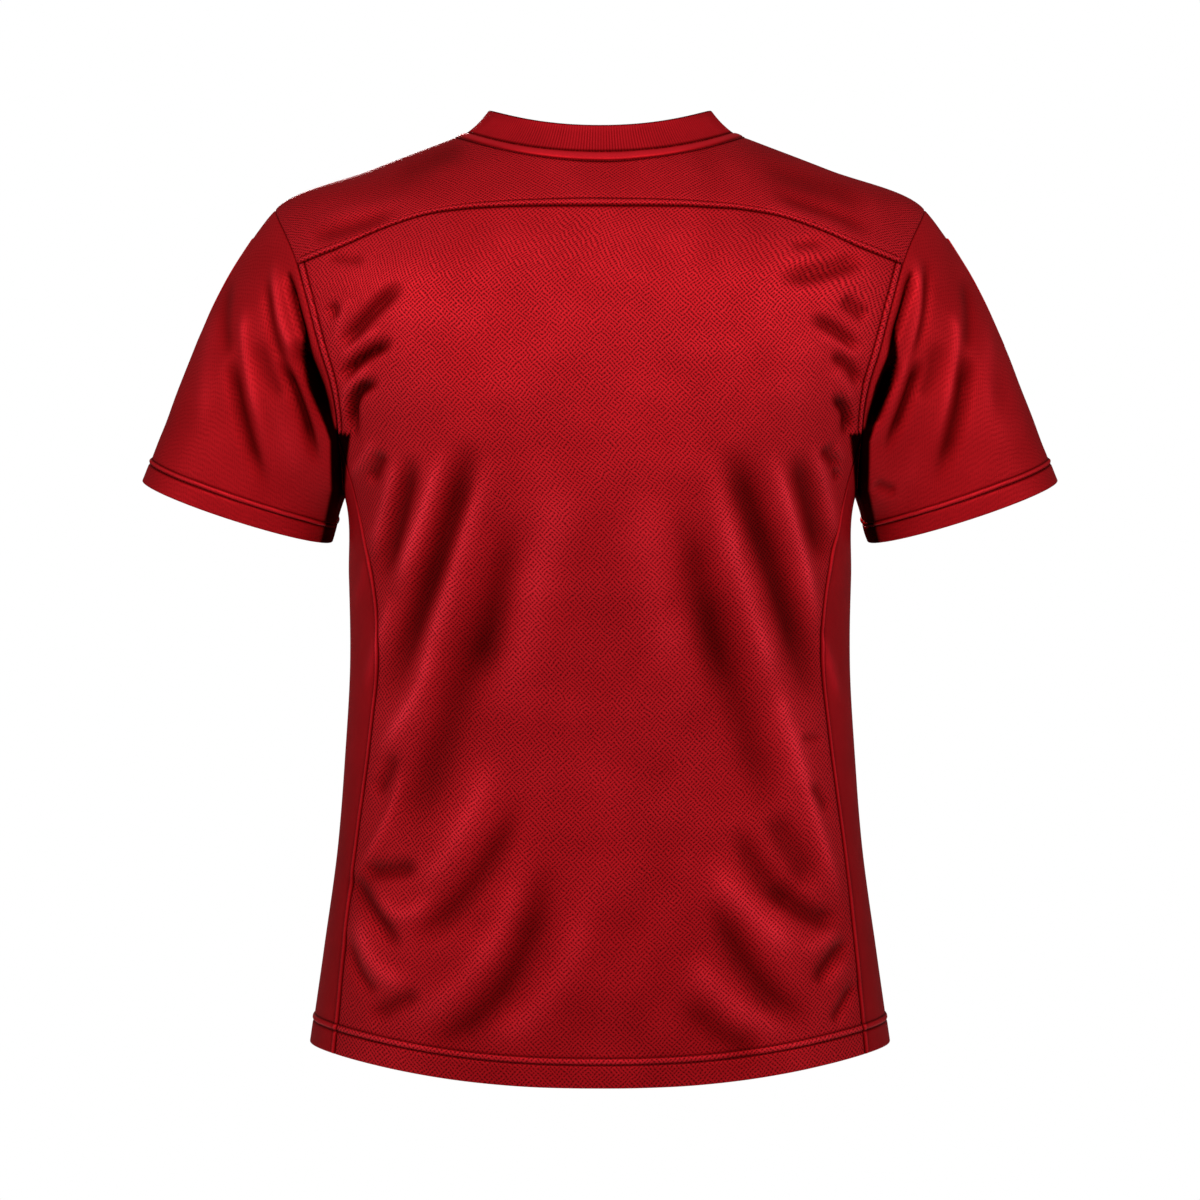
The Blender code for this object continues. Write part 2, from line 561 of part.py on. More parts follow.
def wall(name, outer, inner, colour, ring=False):
    """A closed wall between two grids of points; a ring's last column is its first again."""
    rows, columns = outer.shape[:2]
    mesh = bmesh.new()
    bmesh.ops.create_grid(mesh, x_segments=columns - 1, y_segments=rows - 1, size=1)
    mesh.verts.ensure_lookup_table()
    number = mesh.verts.layers.int.new("number")
    for index, (vertex, place) in enumerate(zip(mesh.verts, outer.reshape(-1, 3))):
        vertex.co = place
        vertex[number] = index
    if ring:
        bmesh.ops.remove_doubles(mesh, verts=mesh.verts, dist=1e-6)
    bmesh.ops.triangulate(mesh, faces=mesh.faces, quad_method="SHORT_EDGE")
    pulled = bmesh.ops.extrude_face_region(mesh, geom=mesh.faces[:])
    inner_vertices = {item for item in pulled["geom"] if isinstance(item, bmesh.types.BMVert)}
    inside = inner.reshape(-1, 3)
    for vertex in inner_vertices:
        vertex.co = inside[vertex[number]]
    for face in [face for face in mesh.faces if len(face.verts) == 4]:
        split_rim(face, inner_vertices)
    bmesh.ops.recalc_face_normals(mesh, faces=mesh.faces)
    mesh.verts.layers.int.remove(number)
    return finish(name, mesh, colour)


def finish(name, mesh, colour):
    """An object for a finished mesh, shaded smooth but for its rims, with its own cloth."""
    data = bpy.data.meshes.new(name)
    mesh.to_mesh(data)
    mesh.free()
    data.shade_smooth()
    data.set_sharp_from_angle(angle=math.radians(50))
    data.materials.append(cloth(name, colour))
    piece = bpy.data.objects.new(name, data)
    bpy.data.collections["football_jersey"].objects.link(piece)
    return piece


def cloth(name, colour):
    material = bpy.data.materials.new(name + "_cloth")
    material.use_nodes = True
    shader = material.node_tree.nodes["Principled BSDF"]
    shader.inputs["Base Color"].default_value = COLOURS[colour]
    shader.inputs["Roughness"].default_value = 0.5
    shader.inputs["Metallic"].default_value = 0.0
    return material


def body_panel(name, grid, colour, outward, rise, armhole_edges=()):
    """A panel cut from the body's surface; armhole_edges names the edges that meet a sleeve."""
    points, normals = body(*grid), normal_of(body, *grid)
    through = normals.copy()
    for row, turns, side in armhole_edges:
        through[row] = mitre(turns, side)
    outer = drawn_in(points, normals) + normals * rise[..., None]
    inner = drawn_in(points, normals) - through * (WALL + outward)[..., None]
    return wall(name, outer, inner, colour)


def hem_rise(grid):
    """How far the turned hem stands out, in each row of a panel that ends at the hem."""
    rise = np.zeros(grid[0].shape)
    rise[:2] = HEM_EXTRA
    return rise


def make_back():
    grid = back_grid()
    rows = np.s_[-ARMHOLE_ROWS_BACK - 1 :]
    turns = between(TURN_SIDE_BACK, TURN_YOKE, ARMHOLE_ROWS_BACK)
    edges = ((np.s_[rows, 0], turns, 1), (np.s_[rows, -1], turns, -1))
    rise = hem_rise(grid)
    body_panel("back", grid, "mesh", rise, rise, edges)


def make_front():
    grid = front_grid()
    first = len(side_seam(-1)[0]) - 1
    rows = np.s_[first : first + ARMHOLE_ROWS_FRONT + 1]
    turns = between(-TURN_SIDE_FRONT, TURN_SHOULDER - 2 * math.pi, ARMHOLE_ROWS_FRONT)
    edges = ((np.s_[rows, 0], turns, -1), (np.s_[rows, -1], turns, 1))
    rise = hem_rise(grid)
    body_panel("front", grid, "mesh", rise, rise, edges)


def make_yoke():
    turns = between(TURN_SHOULDER, TURN_YOKE, SHOULDER_COLUMNS)
    columns = len(turns)
    edges = ((np.s_[0, :columns], turns, 1), (np.s_[0, -columns:], turns[::-1], -1))
    rise = np.zeros(YOKE[0].shape)
    rise[:2] = FELL_RISE
    body_panel("yoke", YOKE, "mesh", 0 * rise, rise, edges)


def make_side(side, name):
    grid = side_grid(side)
    turns = between(-TURN_SIDE_FRONT, TURN_SIDE_BACK, SIDE_COLUMNS)[::side]
    rise = hem_rise(grid)
    body_panel("side_" + name, grid, "side", rise, rise, ((np.s_[-1], turns, side),))


def make_sleeve(side, name):
    """A sleeve: a tube from every sample of the armhole seam down to its turned hem."""
    turns = np.concatenate([
        between(-TURN_SIDE_FRONT, TURN_SIDE_BACK, SIDE_COLUMNS),
        between(TURN_SIDE_BACK, TURN_YOKE, ARMHOLE_ROWS_BACK)[1:],
        between(TURN_YOKE, TURN_SHOULDER, SHOULDER_COLUMNS)[1:],
        between(TURN_SHOULDER, 2 * math.pi - TURN_SIDE_FRONT, ARMHOLE_ROWS_FRONT)[1:],
    ])
    ends = plain_sleeve(turns, 0 * turns + 1, side) - plain_sleeve(turns, 0 * turns, side)
    length = np.linalg.norm(ends, axis=-1)
    last = 1 - (CUFF_DEPTH + STEP_WIDTH) / length
    rows = [last * part for part in between(0, 1, SLEEVE_ROWS)]
    parts = np.stack(rows + [1 - CUFF_DEPTH / length, 1 + 0 * length])
    turn_grid = np.broadcast_to(turns, parts.shape)
    points, normals = sleeve(turn_grid, parts, side), sleeve_normal(turn_grid, parts, side)
    through = normals.copy()
    through[0] = mitre(turns, side)
    rise = np.zeros(parts.shape)
    rise[-2:] = HEM_EXTRA
    edge = drawn_in(points, normals, ("bottom",))
    outer, inner = edge + normals * rise[..., None], edge - through * (WALL + rise)[..., None]
    outer[:, -1], inner[:, -1] = outer[:, 0], inner[:, 0]
    wall("sleeve_" + name, outer, inner, "mesh", ring=True)


# ================================================================ neck
def loft(name, rings, colour):
    """A closed solid through rings of points, the last joined to the first; rings may differ in count."""
    mesh = bmesh.new()
    loops = [[mesh.verts.new(place) for place in ring] for ring in rings]
    for lower, upper in zip(loops, loops[1:] + loops[:1]):
        fine, coarse = (lower, upper) if len(lower) >= len(upper) else (upper, lower)
        ratio = len(fine) // len(coarse)
        for index, start in enumerate(coarse):
            stop = coarse[(index + 1) % len(coarse)]
            fan = [fine[(index * ratio + step) % len(fine)] for step in range(ratio + 1)]
            middle = ratio // 2
            for step in range(ratio):
                mesh.faces.new((fan[step], fan[step + 1], start if step < middle else stop))
            mesh.faces.new((start, fan[middle], stop))
    bmesh.ops.recalc_face_normals(mesh, faces=mesh.faces)
    return finish(name, mesh, colour)


def make_tape():
    """Tape sewn along the neck seam, rounded on its outside, on the panels' own columns."""
    angles = np.concatenate([YOKE[0][-1, :-1], front_grid()[0][-1, :-1] + 2 * math.pi])
    low = neck_line(angles)[1]
    rings = []
    for share, rise, clear in TAPE_SECTION:
        level = low + (NECK_LEVEL - low) * share
        along, up = slopes_of(body, angles, np.minimum(level, NECK_LEVEL - FINE_STEP))
        normal = unit(np.cross(along, up))
        rings.append(body(angles, level) + unit(up) * clear + normal * (rise * TAPE_RISE))
    inner = [rings[-1] - normal * WALL, rings[0] - normal_of(body, angles, low) * WALL]
    loft("neck_tape", rings + inner, "tape")


def collar_surface(angle, share):
    """The neckband's outside: share is 0 at the neck seam and 1 at the top edge."""
    share = np.asarray(share)[..., None]
    return ring_point(angle, RING_ROWS[-1] * (1 - share) + np.array(COLLAR_TOP) * share)


def even_angles(count):
    """Angles evenly spaced by distance round the neckband's top edge."""
    angle = between(0, 2 * math.pi, 4000)
    steps = np.linalg.norm(np.diff(ring_point(angle, np.array(COLLAR_TOP)), axis=0), axis=1)
    run = np.concatenate([[0], np.cumsum(steps)])
    return np.interp(np.arange(count) * run[-1] / count, run, angle)


def collar_ring(share, count, inward):
    """A ring round the neckband, moved into the neck by inward, which may differ from point to point."""
    angle = even_angles(count)
    bow = COLLAR_BOW * 4 * share * (1 - share)
    depth = np.broadcast_to(bow + inward, angle.shape)[:, None]
    return collar_surface(angle, share) - normal_of(collar_surface, angle, share) * depth


def make_collar():
    """Ribbed band that stands up from the neck seam, with ribs on the outside only."""
    fine = COLLAR_RIBS * 2
    groove = np.where(np.arange(fine) % 2, 0.5, -0.5) * COLLAR_RIB_RISE
    outside = [collar_ring(share, fine, groove) for share in (COLLAR_FOOT, COLLAR_RIM)]
    rim = [collar_ring(1.0, COLLAR_SIDES, COLLAR_WALL / 2)]
    inside = [collar_ring(share, COLLAR_SIDES, COLLAR_WALL) for share in (COLLAR_RIM, COLLAR_FOOT)]
    loft("collar", outside + rim + inside, "rib")


def main():
    for old in list(bpy.data.objects):
        bpy.data.objects.remove(old, do_unlink=True)
    bpy.context.scene.collection.children.link(bpy.data.collections.new("football_jersey"))
    make_back()
    make_yoke()
    make_front()
    for side, name in ((1, "left"), (-1, "right")):
        make_side(side, name)
        make_sleeve(side, name)
    make_tape()
    make_collar()


main()
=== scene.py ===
"""Looks of a plain football jersey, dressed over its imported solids.

Units are metres and +Z is up. The jersey's back faces +Y, its front faces -Y and the wearer's left is +X.
The body is one smooth loft of rings; a place on it is an (angle, level) pair, where the angle turns from the
left side by the back to the right side and the level runs up the cloth. A sleeve is a loft from the armhole
seam to its cuff. Every panel is a thin shell on these surfaces, with its folds and its hem, and the stitches
are sewn along its seams.
"""

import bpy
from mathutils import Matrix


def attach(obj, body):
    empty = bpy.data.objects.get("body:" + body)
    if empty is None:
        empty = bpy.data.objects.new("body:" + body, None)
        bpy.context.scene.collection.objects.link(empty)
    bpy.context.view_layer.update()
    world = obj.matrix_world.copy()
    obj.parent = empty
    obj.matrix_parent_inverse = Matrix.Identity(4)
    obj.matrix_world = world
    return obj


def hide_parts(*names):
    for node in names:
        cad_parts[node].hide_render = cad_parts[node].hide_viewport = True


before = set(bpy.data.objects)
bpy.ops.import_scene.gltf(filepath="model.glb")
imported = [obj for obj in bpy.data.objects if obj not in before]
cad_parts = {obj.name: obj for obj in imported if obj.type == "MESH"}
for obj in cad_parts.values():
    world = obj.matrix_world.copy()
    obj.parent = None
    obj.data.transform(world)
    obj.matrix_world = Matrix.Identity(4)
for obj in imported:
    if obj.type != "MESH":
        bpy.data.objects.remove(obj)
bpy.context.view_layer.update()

import math
from collections import namedtuple

import bmesh
import bpy
import numpy as np
from mathutils import Matrix

bl_info = {
    "name": "Football Jersey",
    "version": (1, 0, 0),
    "blender": (4, 5, 0),
    "location": "View3D > Sidebar > Jersey",
    "description": "A plain mesh-cloth football jersey, filled out as when worn",
    "category": "Add Mesh",
}

# -------- rings of the body, hem to neck
# square: exponent of the superellipse in plan; drop: how late the ring leaves the height of its side point
Ring = namedtuple("Ring", "side_x side_z back_y back_z front_y front_z square drop")
RINGS = {
    "hem": Ring(0.2180, -0.6840, 0.118, -0.7045, 0.122, -0.6940, 2.35, 2.7),
    "hip": Ring(0.2080, -0.6140, 0.118, -0.6320, 0.124, -0.6230, 2.35, 2.6),
    "belly": Ring(0.1975, -0.5360, 0.112, -0.5500, 0.121, -0.5440, 2.30, 2.5),
    "waist": Ring(0.1922, -0.4680, 0.108, -0.4790, 0.119, -0.4750, 2.25, 2.5),
    "ribcage": Ring(0.1885, -0.4000, 0.112, -0.4080, 0.124, -0.4060, 2.25, 2.4),
    "bust": Ring(0.1893, -0.3350, 0.121, -0.3420, 0.132, -0.3400, 2.30, 2.3),
    "armpit": Ring(0.1922, -0.2750, 0.127, -0.2810, 0.138, -0.2800, 2.35, 2.2),
    "low_armhole": Ring(0.2127, -0.2280, 0.127, -0.2370, 0.138, -0.2380, 2.35, 2.1),
    "mid_armhole": Ring(0.2480, -0.1600, 0.122, -0.1740, 0.133, -0.1800, 2.35, 2.0),
    "high_armhole": Ring(0.2530, -0.1000, 0.112, -0.1180, 0.124, -0.1380, 2.35, 1.9),
    "shoulder_tip": Ring(0.2448, -0.0570, 0.100, -0.0765, 0.113, -0.1110, 1.75, 1.8),
    "mid_shoulder": Ring(0.1720, -0.0270, 0.087, -0.0470, 0.103, -0.0950, 1.80, 1.7),
    "neck": Ring(0.1010, 0.0000, 0.072, -0.0230, 0.094, -0.0820, 2.05, 1.65),
}

# -------- seam lines
# armhole seam: distance from the middle at each height, on the back and on the front
ARMHOLE = {
    "z": (-0.2310, -0.1960, -0.1540, -0.1330, -0.1060),
    "back_x": (0.1930, 0.1970, 0.2095, 0.2152, 0.2228),
    "front_x": (0.1900, 0.1900, 0.1990, 0.2060, 0.2160),
}
SIDE_SEAM = {
    "z": (-0.6920, -0.5640, -0.4130, -0.3900, -0.2760, -0.2310),
    "x": (0.1960, 0.1840, 0.1650, 0.1630, 0.1800, 0.1915),
}
YOKE_SEAM = {
    "x": (0.0, 0.0767, 0.0986, 0.1285, 0.1586, 0.1892, 0.2228),
    "z": (-0.0647, -0.0648, -0.0657, -0.0699, -0.0792, -0.0923, -0.1045),
}
YOKE_END_Z = YOKE_SEAM["z"][-1]  # where the yoke seam meets the armhole
SIDE_TOP_Z = SIDE_SEAM["z"][-1]  # where a side panel seam meets the armhole
SHOULDER_SEAM_TURN = math.radians(14)  # how far past the ridge the shoulder seam sits, on the armhole
SHOULDER_SEAM_NECK = math.radians(-12)  # its angle on the neck seam
ARMHOLE_TOP = 0.9  # how wide the armhole opens over the shoulder, as a share of its highest row above
ARMHOLE_BLEND = 0.35  # sine of the turn within which the back's armhole and the front's blend
SIDE_SEAM_BEND = 0.6  # share of the way up from where a side seam gives way to meet the armhole
PIT_RISE = 0.004  # how far up the cloth from the armpit ring the armhole starts
TAPE_WIDTH = 0.0070

# -------- sleeves
CUFF_CENTRE = (0.2760, -0.020, -0.2845)
CUFF_AXIS = (0.310, -0.130, -0.942)  # the way the cuff's opening faces
SLEEVE_HANG = (0.391, -0.127, -0.918)  # the way the cloth runs where it meets the cuff
CUFF_WIDE = 0.0752  # half the cuff's width, seen from behind
CUFF_DEEP = 0.0560  # half its depth, front to back
SLEEVE_LEAVES = (0.12, 1.0)  # how much the sleeve follows the body where it starts, underarm and top
SLEEVE_ROUND = 0.0716  # mean radius of a sleeve, for the cloth's grain
SLEEVE_TOP = (-0.9, 0.6)  # where its underarm gives way to its top, as the cosine of the turn, negated
SLEEVE_BACK = (-0.1, 0.35)  # where its front folds give way to its back folds, as the sine of the turn
SLEEVE_FOLDS_START = 0.04  # share of a sleeve by which its folds are at full height
SLEEVE_FOLDS_STOP = (0.02, 0.2)  # shares of a sleeve before its cuff within which they die away

# -------- collar
COLLAR_TOP = Ring(0.0835, 0.0180, 0.0640, -0.0010, 0.0800, -0.0600, 2.10, 1.65)
COLLAR_FOOT = -0.03  # how far the band reaches below the neck seam, as a share of its height
COLLAR_BOW = 0.0012  # how far the band's middle bows in from a straight slope
COLLAR_HEIGHT = 0.0245
COLLAR_STRAIGHT, COLLAR_TURN = 0.90, 0.93  # shares of its height where it ends upright, and turns over
COLLAR_ROWS, TURN_ROWS, RIB_COLUMNS = 12, 9, 5  # points up the band, over its turn and across one rib
RIB_POINT = 0.8  # power of a sine that rounds the ribs: below 1 they are fuller
TOP_RIBS, TOP_RIBS_FADE = 0.5, (0.75, 0.93)  # share that ribs lose near the top, and where on the height
TURN_RIBS = 0.35  # share of the ribs' height that is left where the band turns over
RIB_SHADE = 0.45  # light lost between two ribs
COLLAR_FOOT_SHADE, COLLAR_FOOT_REACH = 0.75, (0.0012, 0.0030)  # light lost at the foot, up to a height
TURN_LIGHT, TURN_EDGE_LIGHT = 0.25, 0.55  # light left where the band turns over, and just before it
GIRTH_STEPS = 4001  # points that measure the way round a ring

# -------- tape over the neck seam
TAPE_SPAN = (-0.10, 1.06)  # where it starts and ends, as shares of the way from its line to the neck seam
TAPE_ROWS, TAPE_COLUMNS = 15, 420
TAPE_FLAT, TAPE_EDGE = 2.6, 0.55  # powers that flatten its crown and steepen its edges
TAPE_SUNK, TAPE_UNDERSIDE = 0.0004, 0.0012  # how deep its edges and its underside lie in the cloth
TAPE_LIT_MIDDLE, TAPE_EDGE_LIGHT = 0.50, 0.35  # the share where it is lightest, and the light at its edges

# -------- folds
# Each fold is a soft ridge, or a trough where its height is negative, along a bow through three points seen
# from behind or from the front. sharp runs from 0, a rounded fold, to 1, a pinched one. Where a right
# strength is given, the fold is repeated on the right with that strength and a small slip in height.
FOLD_COLUMNS = "start middle end half_width height sharp right_strength right_slip"
Fold = namedtuple("Fold", FOLD_COLUMNS, defaults=(0, 0))

NARROWEST_HIDDEN_FOLD = 0.0055  # half width that a fold of the back needs to be repeated on the front
FRONT_SHARE = 0.42  # height of the back's folds where the front repeats them
SLEEVE_FRONT_SHARE = 0.5  # height of a sleeve's back folds where its front repeats them


def turned_over(folds, share):
    """Folds of the back as the front has them: mirrored, softer, and without the narrow ones."""
    made = []
    for fold in (Fold(*row) for row in folds):
        if fold.half_width > NARROWEST_HIDDEN_FOLD:
            points = ((-x, z) for x, z in (fold.start, fold.middle, fold.end))
            made.append(Fold(*points, fold.half_width, fold.height * share, fold.sharp))
    return tuple(made)


BACK_FOLDS = (
    ((0.146, -0.244), (0.158, -0.283), (0.17, -0.324), 0.006, 0.0020, 0.4),
    ((0.136, -0.243), (0.147, -0.29), (0.163, -0.343), 0.007, -0.0050, 0),
    ((0.111, -0.237), (0.131, -0.295), (0.153, -0.352), 0.007, 0.0025, 0.4),
    ((0.152, -0.345), (0.163, -0.381), (0.179, -0.428), 0.005, 0.0015, 0.3),
    ((0.091, -0.233), (0.12, -0.323), (0.162, -0.435), 0.009, -0.0060, 0),
    ((0.077, -0.243), (0.107, -0.334), (0.134, -0.417), 0.009, 0.0025, 0.3),
    ((0.12, -0.377), (0.137, -0.425), (0.169, -0.468), 0.007, 0.0022, 0.3),
    ((0.069, -0.316), (0.109, -0.439), (0.149, -0.539), 0.015, -0.0035, 0),
    ((0.131, -0.545), (0.155, -0.55), (0.179, -0.55), 0.006, -0.0040, 0),
    ((0.145, -0.474), (0.158, -0.515), (0.185, -0.561), 0.004, 0.0015, 0.4),
    ((0.15, -0.461), (0.158, -0.481), (0.167, -0.497), 0.005, -0.0025, 0),
    ((0.076, -0.462), (0.104, -0.526), (0.136, -0.568), 0.011, 0.0020, 0.2),
    ((0.117, -0.561), (0.147, -0.582), (0.178, -0.555), 0.007, 0.0018, 0.2),
    ((0.056, -0.49), (0.092, -0.559), (0.143, -0.606), 0.009, -0.0035, 0),
    ((0.185, -0.552), (0.167, -0.579), (0.144, -0.61), 0.006, -0.0040, 0),
    ((0.179, -0.57), (0.168, -0.617), (0.131, -0.632), 0.008, 0.0022, 0.2),
    ((0.053, -0.526), (0.084, -0.61), (0.153, -0.669), 0.011, 0.0020, 0.2),
    ((0.185, -0.595), (0.177, -0.624), (0.161, -0.641), 0.005, -0.0025, 0),
    ((0.171, -0.66), (0.149, -0.646), (0.129, -0.637), 0.006, -0.0030, 0),
    ((0.036, -0.526), (0.069, -0.632), (0.134, -0.674), 0.011, -0.0040, 0),
    ((0.004, -0.534), (0.033, -0.632), (0.1, -0.677), 0.011, 0.0015, 0.1),
    ((0.027, -0.252), (0.046, -0.345), (0.074, -0.443), 0.017, 0.0015, 0.1),
    ((0.065, -0.287), (0.076, -0.359), (0.092, -0.421), 0.011, -0.0030, 0),
    ((0.163, -0.233), (0.174, -0.247), (0.187, -0.263), 0.004, 0.0015, 0.2),
    ((0.159, -0.242), (0.164, -0.255), (0.17, -0.266), 0.005, -0.0040, 0),
    ((0.174, -0.32), (0.177, -0.337), (0.184, -0.359), 0.004, 0.0010, 0.2),
    ((-0.153, -0.236), (-0.166, -0.272), (-0.177, -0.317), 0.006, 0.0020, 0.4),
    ((-0.141, -0.24), (-0.155, -0.283), (-0.167, -0.33), 0.008, -0.0050, 0),
    ((-0.121, -0.24), (-0.144, -0.305), (-0.163, -0.381), 0.006, 0.0025, 0.4),
    ((-0.163, -0.375), (-0.17, -0.399), (-0.18, -0.433), 0.004, 0.0015, 0.3),
    ((-0.09, -0.236), (-0.125, -0.323), (-0.163, -0.441), 0.010, -0.0060, 0),
    ((-0.076, -0.239), (-0.105, -0.345), (-0.135, -0.428), 0.009, 0.0025, 0.3),
    ((-0.123, -0.401), (-0.142, -0.457), (-0.154, -0.494), 0.009, 0.0022, 0.3),
    ((-0.147, -0.473), (-0.161, -0.519), (-0.18, -0.579), 0.006, 0.0020, 0.3),
    ((-0.067, -0.317), (-0.099, -0.425), (-0.134, -0.525), 0.014, -0.0030, 0),
    ((-0.123, -0.555), (-0.15, -0.579), (-0.18, -0.587), 0.007, -0.0045, 0),
    ((-0.155, -0.486), (-0.163, -0.497), (-0.17, -0.509), 0.004, -0.0020, 0),
    ((-0.148, -0.451), (-0.155, -0.454), (-0.166, -0.452), 0.003, -0.0015, 0),
    ((-0.123, -0.505), (-0.142, -0.534), (-0.158, -0.566), 0.010, -0.0030, 0),
    ((-0.097, -0.513), (-0.118, -0.552), (-0.141, -0.576), 0.008, -0.0030, 0),
    ((-0.074, -0.534), (-0.11, -0.581), (-0.154, -0.612), 0.012, 0.0025, 0.2),
    ((-0.144, -0.611), (-0.163, -0.603), (-0.18, -0.592), 0.007, 0.0015, 0.2),
    ((-0.081, -0.563), (-0.11, -0.621), (-0.158, -0.667), 0.010, -0.0040, 0),
    ((-0.185, -0.6), (-0.169, -0.617), (-0.158, -0.635), 0.006, -0.0040, 0),
    ((-0.163, -0.634), (-0.173, -0.627), (-0.187, -0.615), 0.006, 0.0012, 0.1),
    ((-0.189, -0.631), (-0.179, -0.648), (-0.169, -0.663), 0.004, -0.0030, 0),
    ((-0.067, -0.603), (-0.092, -0.643), (-0.151, -0.672), 0.011, 0.0022, 0.2),
    ((-0.057, -0.635), (-0.088, -0.666), (-0.121, -0.677), 0.011, -0.0030, 0),
    ((-0.028, -0.252), (-0.042, -0.345), (-0.068, -0.446), 0.017, 0.0012, 0.1),
    ((-0.057, -0.279), (-0.077, -0.359), (-0.089, -0.425), 0.012, -0.0030, 0),
    ((-0.163, -0.24), (-0.169, -0.247), (-0.176, -0.256), 0.005, -0.0035, 0),
    ((0.142, -0.12), (0.168, -0.144), (0.19, -0.169), 0.005, -0.0050, 0),
    ((0.157, -0.156), (0.177, -0.165), (0.191, -0.179), 0.004, 0.0012, 0),
    ((0.148, -0.164), (0.173, -0.175), (0.19, -0.192), 0.004, -0.0070, 0),
    ((0.165, -0.182), (0.18, -0.193), (0.19, -0.207), 0.004, 0.0015, 0),
    ((0.158, -0.194), (0.18, -0.205), (0.178, -0.237), 0.004, -0.0080, 0),
    ((0.188, -0.202), (0.186, -0.215), (0.182, -0.233), 0.003, 0.0012, 0),
    ((0.195, -0.134), (0.195, -0.14), (0.194, -0.147), 0.004, -0.0030, 0),
    ((0.202, -0.099), (0.187, -0.101), (0.17, -0.104), 0.004, -0.0018, 0),
    ((0.183, -0.128), (0.19, -0.149), (0.194, -0.17), 0.004, 0.0008, 0),
    ((-0.196, -0.098), (-0.166, -0.111), (-0.125, -0.118), 0.007, -0.0035, 0),
    ((-0.165, -0.089), (-0.151, -0.091), (-0.138, -0.093), 0.004, -0.0016, 0),
    ((-0.176, -0.13), (-0.186, -0.139), (-0.198, -0.146), 0.005, -0.0030, 0),
    ((-0.151, -0.147), (-0.173, -0.156), (-0.191, -0.172), 0.004, -0.0040, 0),
    ((-0.157, -0.162), (-0.176, -0.168), (-0.191, -0.179), 0.004, 0.0008, 0),
    ((-0.166, -0.175), (-0.182, -0.181), (-0.191, -0.198), 0.004, -0.0045, 0),
    ((-0.163, -0.186), (-0.179, -0.195), (-0.186, -0.21), 0.004, 0.0008, 0),
    ((-0.167, -0.204), (-0.181, -0.215), (-0.178, -0.234), 0.004, -0.0065, 0),
    ((-0.172, -0.239), (-0.176, -0.243), (-0.179, -0.252), 0.004, 0.0010, 0),
    ((-0.173, -0.255), (-0.174, -0.259), (-0.175, -0.265), 0.003, -0.0030, 0),
    ((0.217, -0.083), (0.185, -0.077), (0.145, -0.063), 0.007, -0.0020, 0),
    ((0.217, -0.072), (0.180, -0.066), (0.130, -0.053), 0.006, 0.0005, 0),
    ((0.160, -0.042), (0.125, -0.025), (0.098, -0.011), 0.010, -0.0015, 0),
    ((-0.115, -0.029), (-0.160, -0.044), (-0.205, -0.062), 0.009, -0.0015, 0),
    ((-0.120, -0.050), (-0.165, -0.065), (-0.205, -0.081), 0.006, -0.0020, 0),
    ((-0.115, -0.061), (-0.150, -0.069), (-0.190, -0.076), 0.006, 0.0005, 0),
)
FRONT_FOLDS = (
    ((0.176, -0.262), (0.128, -0.300), (0.080, -0.352), 0.0125, -0.0030, 0.0, 0.6, 0.012),
    ((0.170, -0.300), (0.118, -0.352), (0.062, -0.420), 0.0140, 0.0020, 0.2, 1.3, -0.011),
    ((0.160, -0.380), (0.112, -0.438), (0.052, -0.500), 0.0150, -0.0026, 0.0, 1.4, 0.014),
    ((0.158, -0.470), (0.104, -0.530), (0.040, -0.584), 0.0150, 0.0022, 0.2, 0.7, 0.016),
    ((0.172, -0.560), (0.120, -0.608), (0.064, -0.648), 0.0140, -0.0026, 0.0, 1.2, -0.012),
    ((0.180, -0.180), (0.148, -0.190), (0.118, -0.214), 0.0110, -0.0026, 0.0, 0.8, 0.010),
) + turned_over(BACK_FOLDS, FRONT_SHARE)
